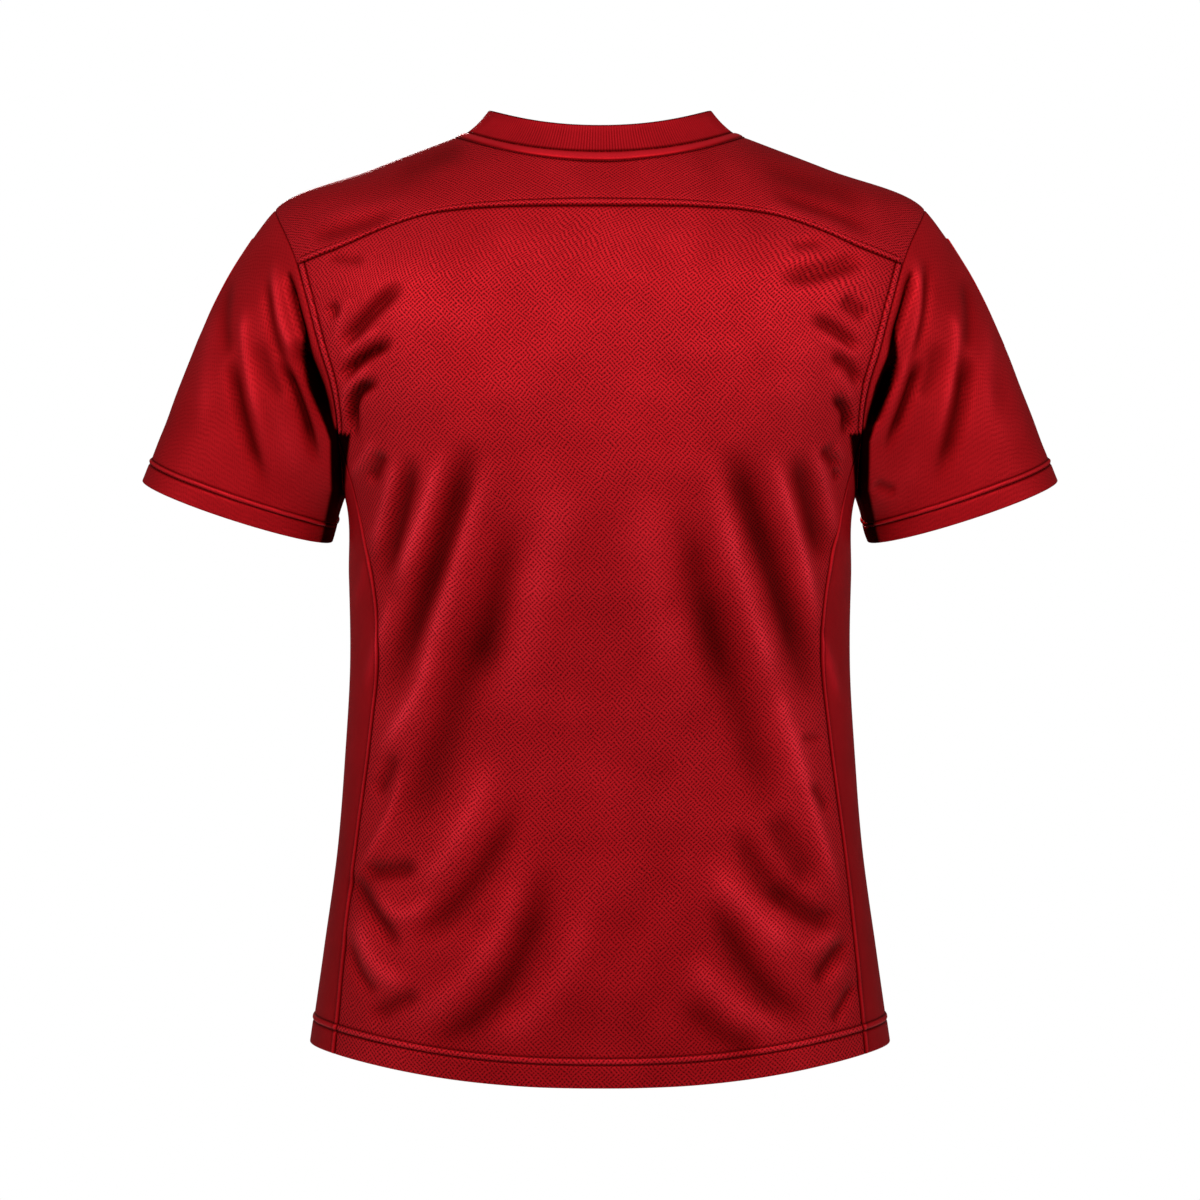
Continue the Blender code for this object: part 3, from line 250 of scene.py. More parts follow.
SLEEVE_BACK_FOLDS = (
    ((0.232, -0.106), (0.224, -0.138), (0.214, -0.172), 0.003, -0.0060, 0),
    ((0.241, -0.092), (0.237, -0.142), (0.218, -0.182), 0.004, 0.0020, 0.3),
    ((0.229, -0.163), (0.209, -0.2), (0.195, -0.237), 0.004, 0.0020, 0.3),
    ((0.226, -0.159), (0.212, -0.191), (0.198, -0.23), 0.006, -0.0090, 0),
    ((0.247, -0.108), (0.243, -0.15), (0.23, -0.187), 0.004, -0.0030, 0),
    ((0.238, -0.173), (0.223, -0.207), (0.209, -0.254), 0.004, -0.0070, 0),
    ((0.263, -0.129), (0.263, -0.175), (0.244, -0.248), 0.004, 0.0018, 0.3),
    ((0.275, -0.167), (0.266, -0.218), (0.247, -0.272), 0.005, -0.0050, 0),
    ((0.277, -0.106), (0.281, -0.14), (0.275, -0.177), 0.005, -0.0020, 0),
    ((0.288, -0.129), (0.296, -0.181), (0.297, -0.233), 0.007, 0.0010, 0.1),
    ((0.254, -0.155), (0.247, -0.185), (0.232, -0.206), 0.007, -0.0020, 0),
    ((0.245, -0.203), (0.232, -0.233), (0.223, -0.264), 0.009, 0.0008, 0.1),
    ((-0.232, -0.105), (-0.224, -0.136), (-0.213, -0.172), 0.003, -0.0050, 0),
    ((-0.232, -0.093), (-0.236, -0.136), (-0.224, -0.179), 0.004, 0.0020, 0.3),
    ((-0.231, -0.163), (-0.215, -0.203), (-0.197, -0.24), 0.004, 0.0020, 0.3),
    ((-0.219, -0.173), (-0.209, -0.203), (-0.197, -0.231), 0.005, -0.0090, 0),
    ((-0.243, -0.095), (-0.241, -0.136), (-0.231, -0.175), 0.004, -0.0030, 0),
    ((-0.237, -0.173), (-0.227, -0.205), (-0.21, -0.246), 0.004, -0.0060, 0),
    ((-0.261, -0.135), (-0.264, -0.172), (-0.246, -0.246), 0.004, 0.0018, 0.3),
    ((-0.274, -0.162), (-0.267, -0.214), (-0.249, -0.269), 0.006, -0.0050, 0),
    ((-0.273, -0.106), (-0.276, -0.14), (-0.273, -0.173), 0.005, -0.0025, 0),
    ((-0.291, -0.133), (-0.291, -0.181), (-0.289, -0.226), 0.007, 0.0010, 0.1),
    ((-0.252, -0.155), (-0.247, -0.185), (-0.235, -0.206), 0.007, -0.0020, 0),
    ((-0.231, -0.233), (-0.232, -0.252), (-0.227, -0.269), 0.007, 0.0005, 0.1),
    ((-0.203, -0.264), (-0.212, -0.269), (-0.222, -0.272), 0.004, -0.0020, 0),
)
SLEEVE_FRONT_FOLDS = (
    ((0.262, -0.130), (0.262, -0.184), (0.248, -0.236), 0.0120, -0.0020, 0.0, 1.3, -0.008),
    ((0.290, -0.140), (0.298, -0.190), (0.302, -0.230), 0.0130, 0.0012, 0.2, 0.7, 0.010),
) + turned_over(SLEEVE_BACK_FOLDS, SLEEVE_FRONT_SHARE)
FOLD_FACE = (0.05, 0.4)  # sines of the angle between which the folds of the back or the front come in
SLEEVE_CREST = 0.0026  # folds of a sleeve that stand higher than this get no more light

# -------- light that the cloth gets at its place
# where a sleeve and the body lie against each other: heights, and how far out the deep shade begins and ends
ARMPIT_SLEEVE = {
    "z": (-0.310, -0.270, -0.235, -0.225, -0.195, -0.175, -0.150, -0.110),
    "begins_x": (0.180, 0.180, 0.180, 0.195, 0.202, 0.210, 0.216, 0.229),
    "ends_x": (0.212, 0.200, 0.199, 0.202, 0.215, 0.219, 0.218, 0.230),
}
ARMPIT_BODY = {
    "z": (-0.290, -0.280, -0.230, -0.216),
    "begins_x": (0.30, 0.192, 0.183, 0.30),
    "ends_x": (0.40, 0.40, 0.40, 0.40),
}
ARMPIT_BEGINS, ARMPIT_ENDS = (-0.0012, 0.0008), (-0.0012, 0.0016)  # how softly, from those places
ARMPIT_FRONT, ARMPIT_BACK = 0.25, 0.985  # light lost there at the front and at the back
ARMPIT_DEPTHS = (-0.045, -0.025)  # y between which the one gives way to the other
ARMPIT_SLEEVE_TOP = (-0.112, -0.108)  # heights between which a sleeve's deep shade ends
BACK_DEPTHS = (-0.04, 0.0)  # y between which the cloth starts to count as the back's
SMALL_OF_BACK_SHADE = 0.14  # light lost below the waist, where the back hangs inwards
SMALL_OF_BACK = (0.44, 0.60)  # how far down that shade begins and is full
FLANK_LIGHT = 0.15  # light gained on the flanks, which the side lights reach
FLANK = (0.10, 0.15)  # how far out that light begins and is full
SLEEVE_SHADE, SIDE_SHADE = 0.14, 0.15  # light lost all over a sleeve and a side panel
SHOULDER_SHADE = 0.20  # light lost on the shoulders, which face up into the key lights
SHOULDER_SLOPE, SHOULDER_OUT = (0.40, 0.85), (0.09, 0.13)  # how far it faces up, and how far out it lies

# -------- how a fold runs
FOLD_STEPS = 16  # straight lines that make up its bow
FOLD_REACH = 3.2  # how many half widths from its line a fold is still felt
FOLD_ENDS = 0.30  # share of its length over which a fold dies away at either end
FOLD_CONTRAST = 210.0  # how fast a fold's cloth brightens with its height, as a power of e for each metre
PINCH_FALL = 1.7  # how fast a pinched fold falls away, as a power of e for each half width
PINCH_TIP = 0.05  # how far its crest is rounded, as a square of half widths

# slow, shallow swells of the whole cloth
RIPPLE_WAVES = 26
RIPPLE_LENGTHS = (0.028, 0.075)
RIPPLE_HEIGHT = 0.00004
RIPPLE_SEED = 7

# -------- relief of seams and hems
# a groove at a distance from a seam line, and the share of its depth and shade that shows
Groove = namedtuple("Groove", "place depth width share")
SEAM_WIDTH = 0.0010  # width of the groove where two panels meet
FELL_FOOT, FELL_END = 0.0016, (-0.0010, 0.0004)  # where a felled band is at full height, and where it ends
FELL_CROWN, FELL_LIGHT, FELL_GROOVE = 0.4, 0.16, 0.0008  # its crown, extra light and groove's width
PIPE_RISE, PIPE_PLACE, PIPE_WIDTH = 0.0005, 0.0024, 0.0016  # the ridge of a seam pressed to one side
PIPE_LIGHT, PIPE_CREST, PIPE_CREST_WIDTH = 0.35, 0.0026, 0.0013  # the light on its crest
PIPE_GROOVE = Groove(0.0048, 0.0002, 0.0007, 0.55)
NECK_GROOVE = Groove(0.0014, 0.0002, 0.0012, 1.1)
HEM_END = (-0.0004, 0.0012)  # where a hem's extra height ends, from its upper row of stitches
HEM_SWELL, HEM_SWELL_LIGHT = 0.0007, 0.40  # the ridge between its rows, and the light on it
HEM_LOW_SINK, HEM_LOW_WIDTH = 1.6, 0.0009  # how much deeper its lower row sinks in, and how wide
HEM_HIGH_SHARE, HEM_HIGH_WIDTH = 0.9, 0.0007
HEM_TURN = 0.0016  # how far past its upper row a hem's second layer thins out
EDGE_ROUND, EDGE_LEAST = 0.0008, 0.12  # reach of a folded edge's round, and the share of wall left there
UNDERARM_SEAM, UNDERARM_START = 0.6, 0.002  # depth of a sleeve's underarm seam, and where it starts
CORNER_BLEND, TIP_BLEND = 0.004, 0.002  # how softly one kind of seam gives way to another, as shares
SHOULDER_SEAM_DEPTH = 0.15  # share of a seam's groove that is left along the shoulder seams

# -------- how finely the cloth is divided
BACK_COLUMNS, BACK_ROWS = 160, 226
FRONT_COLUMNS, FRONT_ROWS = 140, 200
YOKE_COLUMNS, YOKE_ROWS = 280, 34
SIDE_COLUMNS, SIDE_ROWS = 34, 200
SLEEVE_COLUMNS, SLEEVE_ROWS = 250, 96
EDGE_LINES = 400  # points along an exact seam line
EDGE_PROBES, EDGE_NEAR = 41, 0.01  # places along an edge, and the share in from it, that measure its scale
HALVINGS, SEAM_ROUNDS = 30, 24  # rounds in which a level, and a pair of angle and level, are found
BACK_START, SIDE_START = 0.9, 0.45  # angles, in radians, from which they are looked for
TURN_STEPS = 721  # points that measure the heights of half an armhole
SIDE_FELL_LINES = 10  # how many of the fine lines beside a felled seam a side panel needs
FINE_STEP = 1e-4  # step used to find slopes of the surface
ROUNDING = 1e-6  # distances and shares that differ by less are the same
SHARP_TURN = math.radians(60)  # turn between two faces from which their edge is shaded sharp
MILLIMETRE = 0.001

# fine lines beside an edge, in millimetres from it
PLAIN_SEAM_LINES = (0.0, 0.3, 0.7, 1.2, 2.0, 3.2)
FELLED_SEAM_LINES = (0.0, 0.3, 0.7, 1.2, 2.0, 3.0, 4.0, 4.7, 5.2, 5.6, 6.0, 6.4, 6.9, 7.8)
NECK_LINES = (0.0, 0.6, 1.3, 2.0, 2.8, 3.8)
HEM_LINES = (0.0, 0.15, 0.4, 0.8, 1.6, 4.5, 8.0, 11.5, 14.4, 15.4, 16.0, 16.4, 16.8, 17.2, 17.8, 18.6, 19.5,
             20.4, 21.1, 21.6, 22.0, 22.4, 22.9, 23.8, 25.5)
CUFF_LINES = (0.0, 0.15, 0.4, 0.8, 1.6, 4.5, 8.0, 11.0, 13.2, 14.0, 14.4, 14.8, 15.2, 15.8, 16.5, 17.3, 18.1,
              18.6, 19.0, 19.4, 19.9, 20.8, 22.5)

# -------- finish of the cloth
MESH_CELL = 0.0024  # distance between the ridges of the mesh cloth
MESH_ROUGHNESS, MESH_ROUGHER, MESH_SHEEN = 0.50, 0.08, 0.34  # of its ridges, more in its gaps, and its sheen
MESH_RELIEF = 0.00010  # height of its ridges
MESH_GAP_SHADE, MESH_PIT_SHADE, MESH_DYE_SHADE = 0.42, 0.20, 0.08  # shade of its gaps, pits and dye
YOKE_WEAVE, SLEEVE_WEAVE = 1.1, 0.32  # depth of the weave there, where the body's is 1
YOKE_STRETCH = 1.06  # how much the yoke's weave is drawn out across the shoulders
WANDER_SCALE, WANDER = 120.0, 0.0030  # how finely and how far the ridges stray
PATCH_SCALE, PATCH_EDGES = 190.0, (0.42, 0.58)  # patches in which they change direction
PIT_EDGES, PIT_DEPTH = (0.25, 0.75), 0.6
DEEPEST = 0.08  # share of its colour that the cloth keeps where it is darkest
DEEP_LIGHT = 0.5  # light below which the cloth loses its sheen
MESH_DYE_SCALE, KNIT_DYE_SCALE, DYE_DETAIL, DYE_EDGES = 16.0, 22.0, 3.0, (0.3, 0.7)  # clouds of the dye
KNIT_SHADE, KNIT_LOOP_SHADE, KNIT_DYE_SHADE = 0.12, -0.10, 0.14  # of the knit, its loops and its dye
Knit = namedtuple("Knit", "loop roughness sheen relief")
SIDE_KNIT = Knit(0.0009, 0.48, 0.42, 0.00006)
RIB_KNIT = Knit(0.0009, 0.60, 0.25, 0.00010)
TAPE_KNIT = Knit(0.0007, 0.42, 0.42, 0.00005)
SHEEN_TINT = (1.0, 0.05, 0.07, 1.0)
THREAD_TWIST, THREAD_DARK, THREAD_RELIEF = 900.0, 0.45, 0.00005
THREAD_ROUGHNESS, THREAD_SHEEN = 0.45, 0.4

# -------- stitches
STITCH_LIFT = 0.0001  # how far a stitch's middle lies over the cloth
STITCH_FLAT = 0.8  # height of a stitch, as a share of its width
STITCH_SIDES, STITCH_RINGS = 6, 4
BAND_STITCHES = 0.0013  # how far inside a felled band's edge its stitches lie
BAND_LIFT = 0.6  # how high they lie, as a share of the band's height
SIDE_STITCHES = 0.0040  # how far from a side panel's seam its stitches lie
NECK_STITCHES, NECK_PITCH, NECK_LINK = 0.0013, 0.0021, (0.0016, 0.0011, 0.0007)  # chain below the tape
ROW_POINTS, CUFF_POINTS, NECK_POINTS = 500, 400, 900

# -------- stage
# soft lights: where each stands and what it faces, its width and height, and its share of the key power
Light = namedtuple("Light", "name place target size share")
PAIRED_LIGHTS = (
    Light("key", (0.8, 1.6, 0.82), (0.10, 0.0, -0.22), (0.6, 0.6), 0.5),
    Light("fill", (2.6, 1.5, 0.1), (0.2, 0.0, -0.30), (0.6, 1.2), 0.25),
)
FRONT_LIGHT = Light("front_key", (0.3, -2.2, 0.45), (0.0, 0.0, -0.25), (0.8, 0.5), 0.9)
SENSOR = 36.0  # width of the camera's film, in millimetres
FLOOR_RADIUS, FLOOR_SIDES = 2.1, 96
FLOOR_PAPER, FLOOR_ROUGHNESS = (0.80, 0.80, 0.80, 1.0), 0.9
WHITE, GLOW = (1.0, 1.0, 1.0, 1.0), 0.10  # what shows behind the jersey, and how strongly it lights it

# -------- the cut of each piece of cloth
# width and length of the cut and its area, in metres and square metres
Cut = namedtuple("Cut", "width length area")
CUTS = {
    "back": Cut(0.480, 0.640, 0.262),
    "yoke": Cut(0.610, 0.130, 0.062),
    "front": Cut(0.480, 0.690, 0.288),
    "side": Cut(0.140, 0.470, 0.056),
    "sleeve": Cut(0.520, 0.270, 0.088),
    "collar": Cut(0.520, 0.030, 0.0156),
    "tape": Cut(0.560, 0.010, 0.005),
}


# ======== settings
def length_property(name, description, default):
    return bpy.props.FloatProperty(name=name, description=description, default=default, subtype="DISTANCE",
                                   unit="LENGTH", min=0.0, precision=5)


def colour_property(name, description, default):
    return bpy.props.FloatVectorProperty(name=name, description=description, default=default, size=3,
                                         subtype="COLOR", min=0.0, max=1.0)


def share_property(name, description, default, most):
    return bpy.props.FloatProperty(name=name, description=description, default=default, min=0.0, max=most,
                                   subtype="FACTOR")


def rows_property(name, description, default):
    return bpy.props.FloatVectorProperty(name=name, description=description, default=default, size=2,
                                         unit="LENGTH", precision=4)


def height_property(name, description, default):
    return bpy.props.FloatProperty(name=name, description=description, default=default, subtype="DISTANCE",
                                   unit="LENGTH")


class JerseyCloth(bpy.types.PropertyGroup):
    """The cloth of the jersey."""

    body_colour: colour_property("Body colour", "Colour of the mesh cloth", (0.440, 0.0075, 0.0120))
    side_colour: colour_property("Side colour", "Colour of the smooth side panels", (0.440, 0.0062, 0.0108))
    rib_colour: colour_property("Neckband colour", "Colour of the ribbed neckband", (0.370, 0.0056, 0.0100))
    tape_colour: colour_property("Tape colour", "Colour of the tape round the neck", (0.440, 0.0065, 0.0110))
    thread_colour: colour_property("Thread colour", "Colour of the stitching", (0.200, 0.0035, 0.0060))
    wall: length_property("Cloth", "Thickness of one layer of cloth", 0.0010)
    hem_extra: length_property("Hem", "How far a turned hem stands out of its panel", 0.0006)
    fold_shade: share_property("Fold shade", "How much darker hollows are than crests", 1.0, 2.0)
    mesh_cell: length_property("Mesh cell", "Distance between the ridges of the mesh cloth", MESH_CELL)


class JerseySeams(bpy.types.PropertyGroup):
    """The seams and their stitching."""

    ditch: length_property("Ditch", "Depth of the groove where two panels meet", 0.0011)
    groove_shade: share_property("Groove shade", "How dark the cloth in a groove is", 0.85, 1.0)
    fell_width: length_property("Felled width", "Width of the band beside a topstitched seam", 0.0060)
    fell_rise: length_property("Felled rise", "How far that band stands out", 0.0009)
    sink: length_property("Stitch sink", "How far a row of stitches pulls the cloth in", 0.0006)
    hem_rows: rows_property("Hem rows", "Heights of the hem's two rows of stitches", (0.0168, 0.0220))
    cuff_rows: rows_property("Cuff rows", "Heights of a cuff's two rows of stitches", (0.0148, 0.0190))
    stitch_pitch: length_property("Stitch pitch", "Distance from one stitch to the next", 0.0030)
    stitch_length: length_property("Stitch length", "Length of one stitch", 0.0024)
    stitch_width: length_property("Stitch width", "Width of the thread", 0.00055)


class JerseyNeck(bpy.types.PropertyGroup):
    """The neckband and the tape under it."""

    ribs: bpy.props.IntProperty(name="Ribs", description="Ribs round the neckband", default=288, min=32)
    rib_rise: length_property("Rib rise", "Height of a rib over the grooves beside it", 0.0004)
    band_wall: length_property("Band", "Thickness of the neckband", 0.0024)
    tape_rise: length_property("Tape rise", "How far the tape stands out of the neck seam", 0.0014)


class JerseyStage(bpy.types.PropertyGroup):
    """The camera, the floor and the lights."""

    camera_distance: length_property("Camera distance", "From the jersey's middle to the camera", 2.6)
    camera_height: height_property("Camera height", "Height of the camera", -0.352)
    frame_width: length_property("Frame width", "Width of the view at the jersey's middle", 0.9066)
    floor_height: height_property("Floor height", "Height of the floor", -1.20)
    key_power: bpy.props.FloatProperty(name="Key light", description="Power of the main light, in watts",
                                       default=45.0, min=0.0, unit="POWER")


def settings():
    return bpy.context.scene.jersey_cloth, bpy.context.scene.jersey_seams


# ======== curves
def curve(knots, values, at):
    """Smooth curve through values (one row for each knot), read at the places given."""
    knots = np.asarray(knots, float)
    values = np.asarray(values, float)
    if values.ndim == 1:
        return curve(knots, values[:, None], at)[..., 0]
    steps = np.diff(knots)
    rises = np.diff(values, axis=0) / steps[:, None]
    slopes = np.empty_like(values)
    slopes[0], slopes[-1] = rises[0], rises[-1]
    share = (steps[1:] / (steps[1:] + steps[:-1]))[:, None]
    slopes[1:-1] = rises[:-1] * share + rises[1:] * (1 - share)
    at = np.asarray(at, float)
    cell = np.clip(np.searchsorted(knots, at) - 1, 0, len(knots) - 2)
    width = steps[cell]
    part = ((at - knots[cell]) / width)[..., None]
    width = width[..., None]
    square, cube = part**2, part**3
    return (
        values[cell] * (2 * cube - 3 * square + 1)
        + slopes[cell] * width * (cube - 2 * square + part)
        + values[cell + 1] * (3 * square - 2 * cube)
        + slopes[cell + 1] * width * (cube - square)
    )


def ease(value, low, high):
    """0 below low, 1 above high, and a smooth rise between them."""
    part = np.clip((value - low) / (high - low), 0, 1)
    return part * part * (3 - 2 * part)


def unit(vectors):
    return vectors / np.maximum(np.linalg.norm(vectors, axis=-1, keepdims=True), 1e-12)


def bell(distance, width):
    return np.exp(-((distance / width) ** 2))


def bow(fold):
    """Points of a fold's line, a bow through its three points."""
    start, middle, end = (np.array(point) for point in (fold.start, fold.middle, fold.end))
    bend = 2 * middle - (start + end) / 2
    part = np.linspace(0, 1, FOLD_STEPS + 1)[:, None]
    return start * (1 - part) ** 2 + bend * 2 * part * (1 - part) + end * part**2


def fold_profile(reach, sharp):
    """Height across a fold, at a reach counted in its half widths."""
    pinched = np.exp(-PINCH_FALL * (np.sqrt(reach**2 + PINCH_TIP) - math.sqrt(PINCH_TIP)))
    return (1 - sharp) * np.exp(-(reach**2)) + sharp * pinched


def fold_height(across, up, folds):
    """Height of the cloth's folds at places seen from the back or the front."""
    total = np.zeros(np.shape(across))
    for fold in (Fold(*row) for row in folds):
        line = bow(fold)
        run = np.diff(line, axis=0)
        margin = FOLD_REACH * fold.half_width
        for side, strength, slip in ((1, 1.0, 0.0), (-1, fold.right_strength, fold.right_slip)):
            if not strength:
                continue
            place = np.stack([across * side, up - slip], axis=-1)
            near = ((place > line.min(0) - margin) & (place < line.max(0) + margin)).all(-1)
            place = place[near][:, None, :]
            along = np.clip(((place - line[:-1]) * run).sum(-1) / (run * run).sum(-1), 0, 1)
            away = np.linalg.norm(place - line[:-1] - along[..., None] * run, axis=-1)
            nearest = away.argmin(-1)[:, None]
            reach = np.take_along_axis(away, nearest, -1)[:, 0] / fold.half_width
            share = (nearest[:, 0] + np.take_along_axis(along, nearest, -1)[:, 0]) / FOLD_STEPS
            taper = ease(share, 0, FOLD_ENDS) * ease(1 - share, 0, FOLD_ENDS)
            total[near] += fold.height * strength * taper * fold_profile(reach, fold.sharp)
    return total


def ripple(across, up):
    """Slow swells of the cloth, from waves in many directions."""
    chance = np.random.default_rng(RIPPLE_SEED)
    total = np.zeros(np.shape(across))
    for _ in range(RIPPLE_WAVES):
        heading, start = chance.uniform(0, math.pi), chance.uniform(0, 2 * math.pi)
        length = chance.uniform(*RIPPLE_LENGTHS)
        phase = (across * math.cos(heading) + up * math.sin(heading)) * 2 * math.pi / length
        total += RIPPLE_HEIGHT * np.sin(phase + start)
    return total


# ======== the body's surface
RING_ROWS = np.array(list(RINGS.values()))


def ring_levels():
    """Level of each ring: the distance up the cloth, averaged between its side and its back."""
    side = RING_ROWS[:, [0, 1]]
    back = RING_ROWS[:, [2, 3]]
    steps = [np.linalg.norm(np.diff(line, axis=0), axis=1) for line in (side, back)]
    return np.concatenate([[0], np.cumsum(np.mean(steps, axis=0))])


LEVELS = ring_levels()
NECK_LEVEL = LEVELS[-1]
TIP_LEVEL = LEVELS[list(RINGS).index("shoulder_tip")]
PIT_LEVEL = LEVELS[list(RINGS).index("armpit")] + PIT_RISE


def ring_point(angle, row):
    """The point of one ring at an angle; row holds the ring's columns in its last axis."""
    ring = Ring(*np.moveaxis(row, -1, 0))
    turn, rise = np.cos(angle), np.sin(angle)
    x = ring.side_x * np.sign(turn) * np.abs(turn) ** (2 / ring.square)
    y = np.where(rise >= 0, ring.back_y, ring.front_y) * np.sign(rise) * np.abs(rise) ** (2 / ring.square)
    middle_z = np.where(rise >= 0, ring.back_z, ring.front_z)
    z = ring.side_z + (middle_z - ring.side_z) * np.abs(rise) ** ring.drop
    return np.stack(np.broadcast_arrays(x, y, z), axis=-1)


def smooth_body(angle, level):
    """The body's surface before its folds."""
    angle, level = np.broadcast_arrays(np.asarray(angle, float), np.asarray(level, float))
    return ring_point(angle, curve(LEVELS, RING_ROWS, level))


def slopes_of(surface, first, second):
    """Slopes of a surface along its two parameters."""
    along = surface(first + FINE_STEP, second) - surface(first - FINE_STEP, second)
    up = surface(first, second + FINE_STEP) - surface(first, second - FINE_STEP)
    return along / (2 * FINE_STEP), up / (2 * FINE_STEP)


def body_normal(angle, level):
    along, up = slopes_of(smooth_body, angle, np.minimum(level, NECK_LEVEL - FINE_STEP))
    return unit(np.cross(along, up))


def body_folds(angle, level):
    """Height of the folds over the body's smooth surface."""
    angle, level = np.broadcast_arrays(np.asarray(angle, float), np.asarray(level, float))
    place = smooth_body(angle, level)
    rise = np.sin(angle)
    height = fold_height(place[..., 0], place[..., 2], BACK_FOLDS) * ease(rise, *FOLD_FACE)
    height += fold_height(place[..., 0], place[..., 2], FRONT_FOLDS) * ease(-rise, *FOLD_FACE)
    return height + ripple(place[..., 0] + np.sign(rise) * place[..., 1], place[..., 2]) * np.abs(rise)


def body(angle, level):
    """The body's surface with its folds."""
    height = body_folds(angle, level)
    return smooth_body(angle, level) + height[..., None] * body_normal(angle, level)


# ======== seam lines, as (angle, level) pairs
def level_at(angle, height):
    """Level at which the body has a height, by halving."""
    angle, height = np.broadcast_arrays(np.asarray(angle, float), np.asarray(height, float))
    low, high = np.zeros(angle.shape), np.full(angle.shape, NECK_LEVEL)
    for _ in range(HALVINGS):
        middle = (low + high) / 2
        under = smooth_body(angle, middle)[..., 2] < height
        low, high = np.where(under, middle, low), np.where(under, high, middle)
    return (low + high) / 2


def angle_at(x, level):
    """Angle, on the left half of the back, at which the body is x from the middle."""
    ring = Ring(*np.moveaxis(curve(LEVELS, RING_ROWS, level), -1, 0))
    return np.arccos(np.clip(x / ring.side_x, 0, 1) ** (ring.square / 2))


def place_at(x, height, face=1):
    """The pair whose point, seen from the back (face 1) or the front (face -1), is x across and high."""
    angle = np.full(np.shape(x), BACK_START)
    for _ in range(SEAM_ROUNDS):
        level = level_at(face * angle, height)
        angle = angle_at(np.asarray(x), level)
    return face * angle, level


def armhole_turn(level):
    """Turn round the armhole, 0 at the underarm and pi at the shoulder tip, for a level of its back half."""
    return np.arccos(np.clip(1 - 2 * (level - PIT_LEVEL) / (TIP_LEVEL - PIT_LEVEL), -1, 1))


def armhole_spread(face, column):
    """How wide the armhole opens, as the angle over the sine of the turn, with the turns it is known at."""
    angle, level = place_at(np.array(ARMHOLE[column]), np.array(ARMHOLE["z"]), face)
    turn = armhole_turn(level)
    spread = np.abs(angle) / np.sin(turn)
    turn = np.concatenate([[0], turn, [math.pi]])
    return turn, np.concatenate([spread[:1], spread, spread[-1:] * ARMHOLE_TOP])


ARMHOLE_SPREADS = {1: armhole_spread(1, "back_x"), -1: armhole_spread(-1, "front_x")}


def armhole(turn):
    """The left armhole seam: from the underarm up the back, over the shoulder and down the front."""
    turn = np.asarray(turn, float)
    level = PIT_LEVEL + (TIP_LEVEL - PIT_LEVEL) * (1 - np.cos(turn)) / 2
    near = np.abs((turn + math.pi) % (2 * math.pi) - math.pi)
    back, front = (curve(*ARMHOLE_SPREADS[face], near) for face in (1, -1))
    share = ease(np.sin(turn), -ARMHOLE_BLEND, ARMHOLE_BLEND)
    return np.sin(turn) * (back * share + front * (1 - share)), level


def turn_at_height(height, face):
    """Turn of the armhole at a height, on its back or front half."""
    turns = np.linspace(0, math.pi, TURN_STEPS)
    heights = smooth_body(*armhole(face * turns))[:, 2]
    return np.interp(height, heights, turns)


def mirrored(line):
    """The same line on the other side of the garment, run the other way."""
    angle, level = line
    return (math.pi - angle)[::-1], level[::-1]


def joined(*lines):
    """Lines run one after the other, without the points they share."""
    angles = [lines[0][0]] + [line[0][1:] for line in lines[1:]]
    levels = [lines[0][1]] + [line[1][1:] for line in lines[1:]]
    return np.concatenate(angles), np.concatenate(levels)


TURN_SIDE_BACK = turn_at_height(SIDE_TOP_Z, 1)
TURN_SIDE_FRONT = turn_at_height(SIDE_TOP_Z, -1)
TURN_YOKE = turn_at_height(YOKE_END_Z, 1)
TURN_SHOULDER = math.pi + SHOULDER_SEAM_TURN


def neck_line(angle):
    """Lower edge of the neck tape: its width down the cloth from the neck seam."""
    level = np.full(np.shape(angle), NECK_LEVEL - TAPE_WIDTH)
    up = slopes_of(smooth_body, angle, level)[1]
    return angle, NECK_LEVEL - TAPE_WIDTH / np.linalg.norm(up, axis=-1)


def side_seam(face):
    """A side panel's seam on the back or the front, from the hem to the armhole."""
    end_turn = TURN_SIDE_BACK if face > 0 else -TURN_SIDE_FRONT
    end_angle, end_level = armhole(np.array(end_turn))
    level = np.linspace(0, end_level, EDGE_LINES)
    angle = np.full(level.shape, SIDE_START)
    for _ in range(SEAM_ROUNDS):
        height = smooth_body(face * angle, level)[:, 2]
        angle = angle_at(curve(SIDE_SEAM["z"], SIDE_SEAM["x"], height), level)
    slack = abs(end_angle) - angle[-1]
    return face * (angle + slack * ease(level, end_level * SIDE_SEAM_BEND, end_level)), level


def yoke_seam():
    """The yoke's seam across the back, from the left armhole to the right one."""
    end_x = smooth_body(*armhole(np.array(TURN_YOKE)))[0]
    x = np.linspace(0, 1, EDGE_LINES // 2) * end_x
    height = curve(np.array(YOKE_SEAM["x"]) * end_x / YOKE_SEAM["x"][-1], YOKE_SEAM["z"], x)
    angle, level = place_at(x, height)
    angle, level = angle[::-1].copy(), level[::-1].copy()
    angle[0], level[0] = armhole(np.array(TURN_YOKE))
    angle[-1] = math.pi / 2
    return joined((angle, level), mirrored((angle, level)))


def shoulder_seam():
    """The left shoulder seam, from the armhole to the neck tape."""
    start = armhole(np.array([TURN_SHOULDER]))
    end = neck_line(np.array([SHOULDER_SEAM_NECK]))
    share = np.linspace(0, 1, EDGE_LINES // 4)
    start_angle = start[0] if start[0] > -math.pi else start[0] + 2 * math.pi
    return start_angle * (1 - share) + end[0] * share, start[1] * (1 - share) + end[1] * share


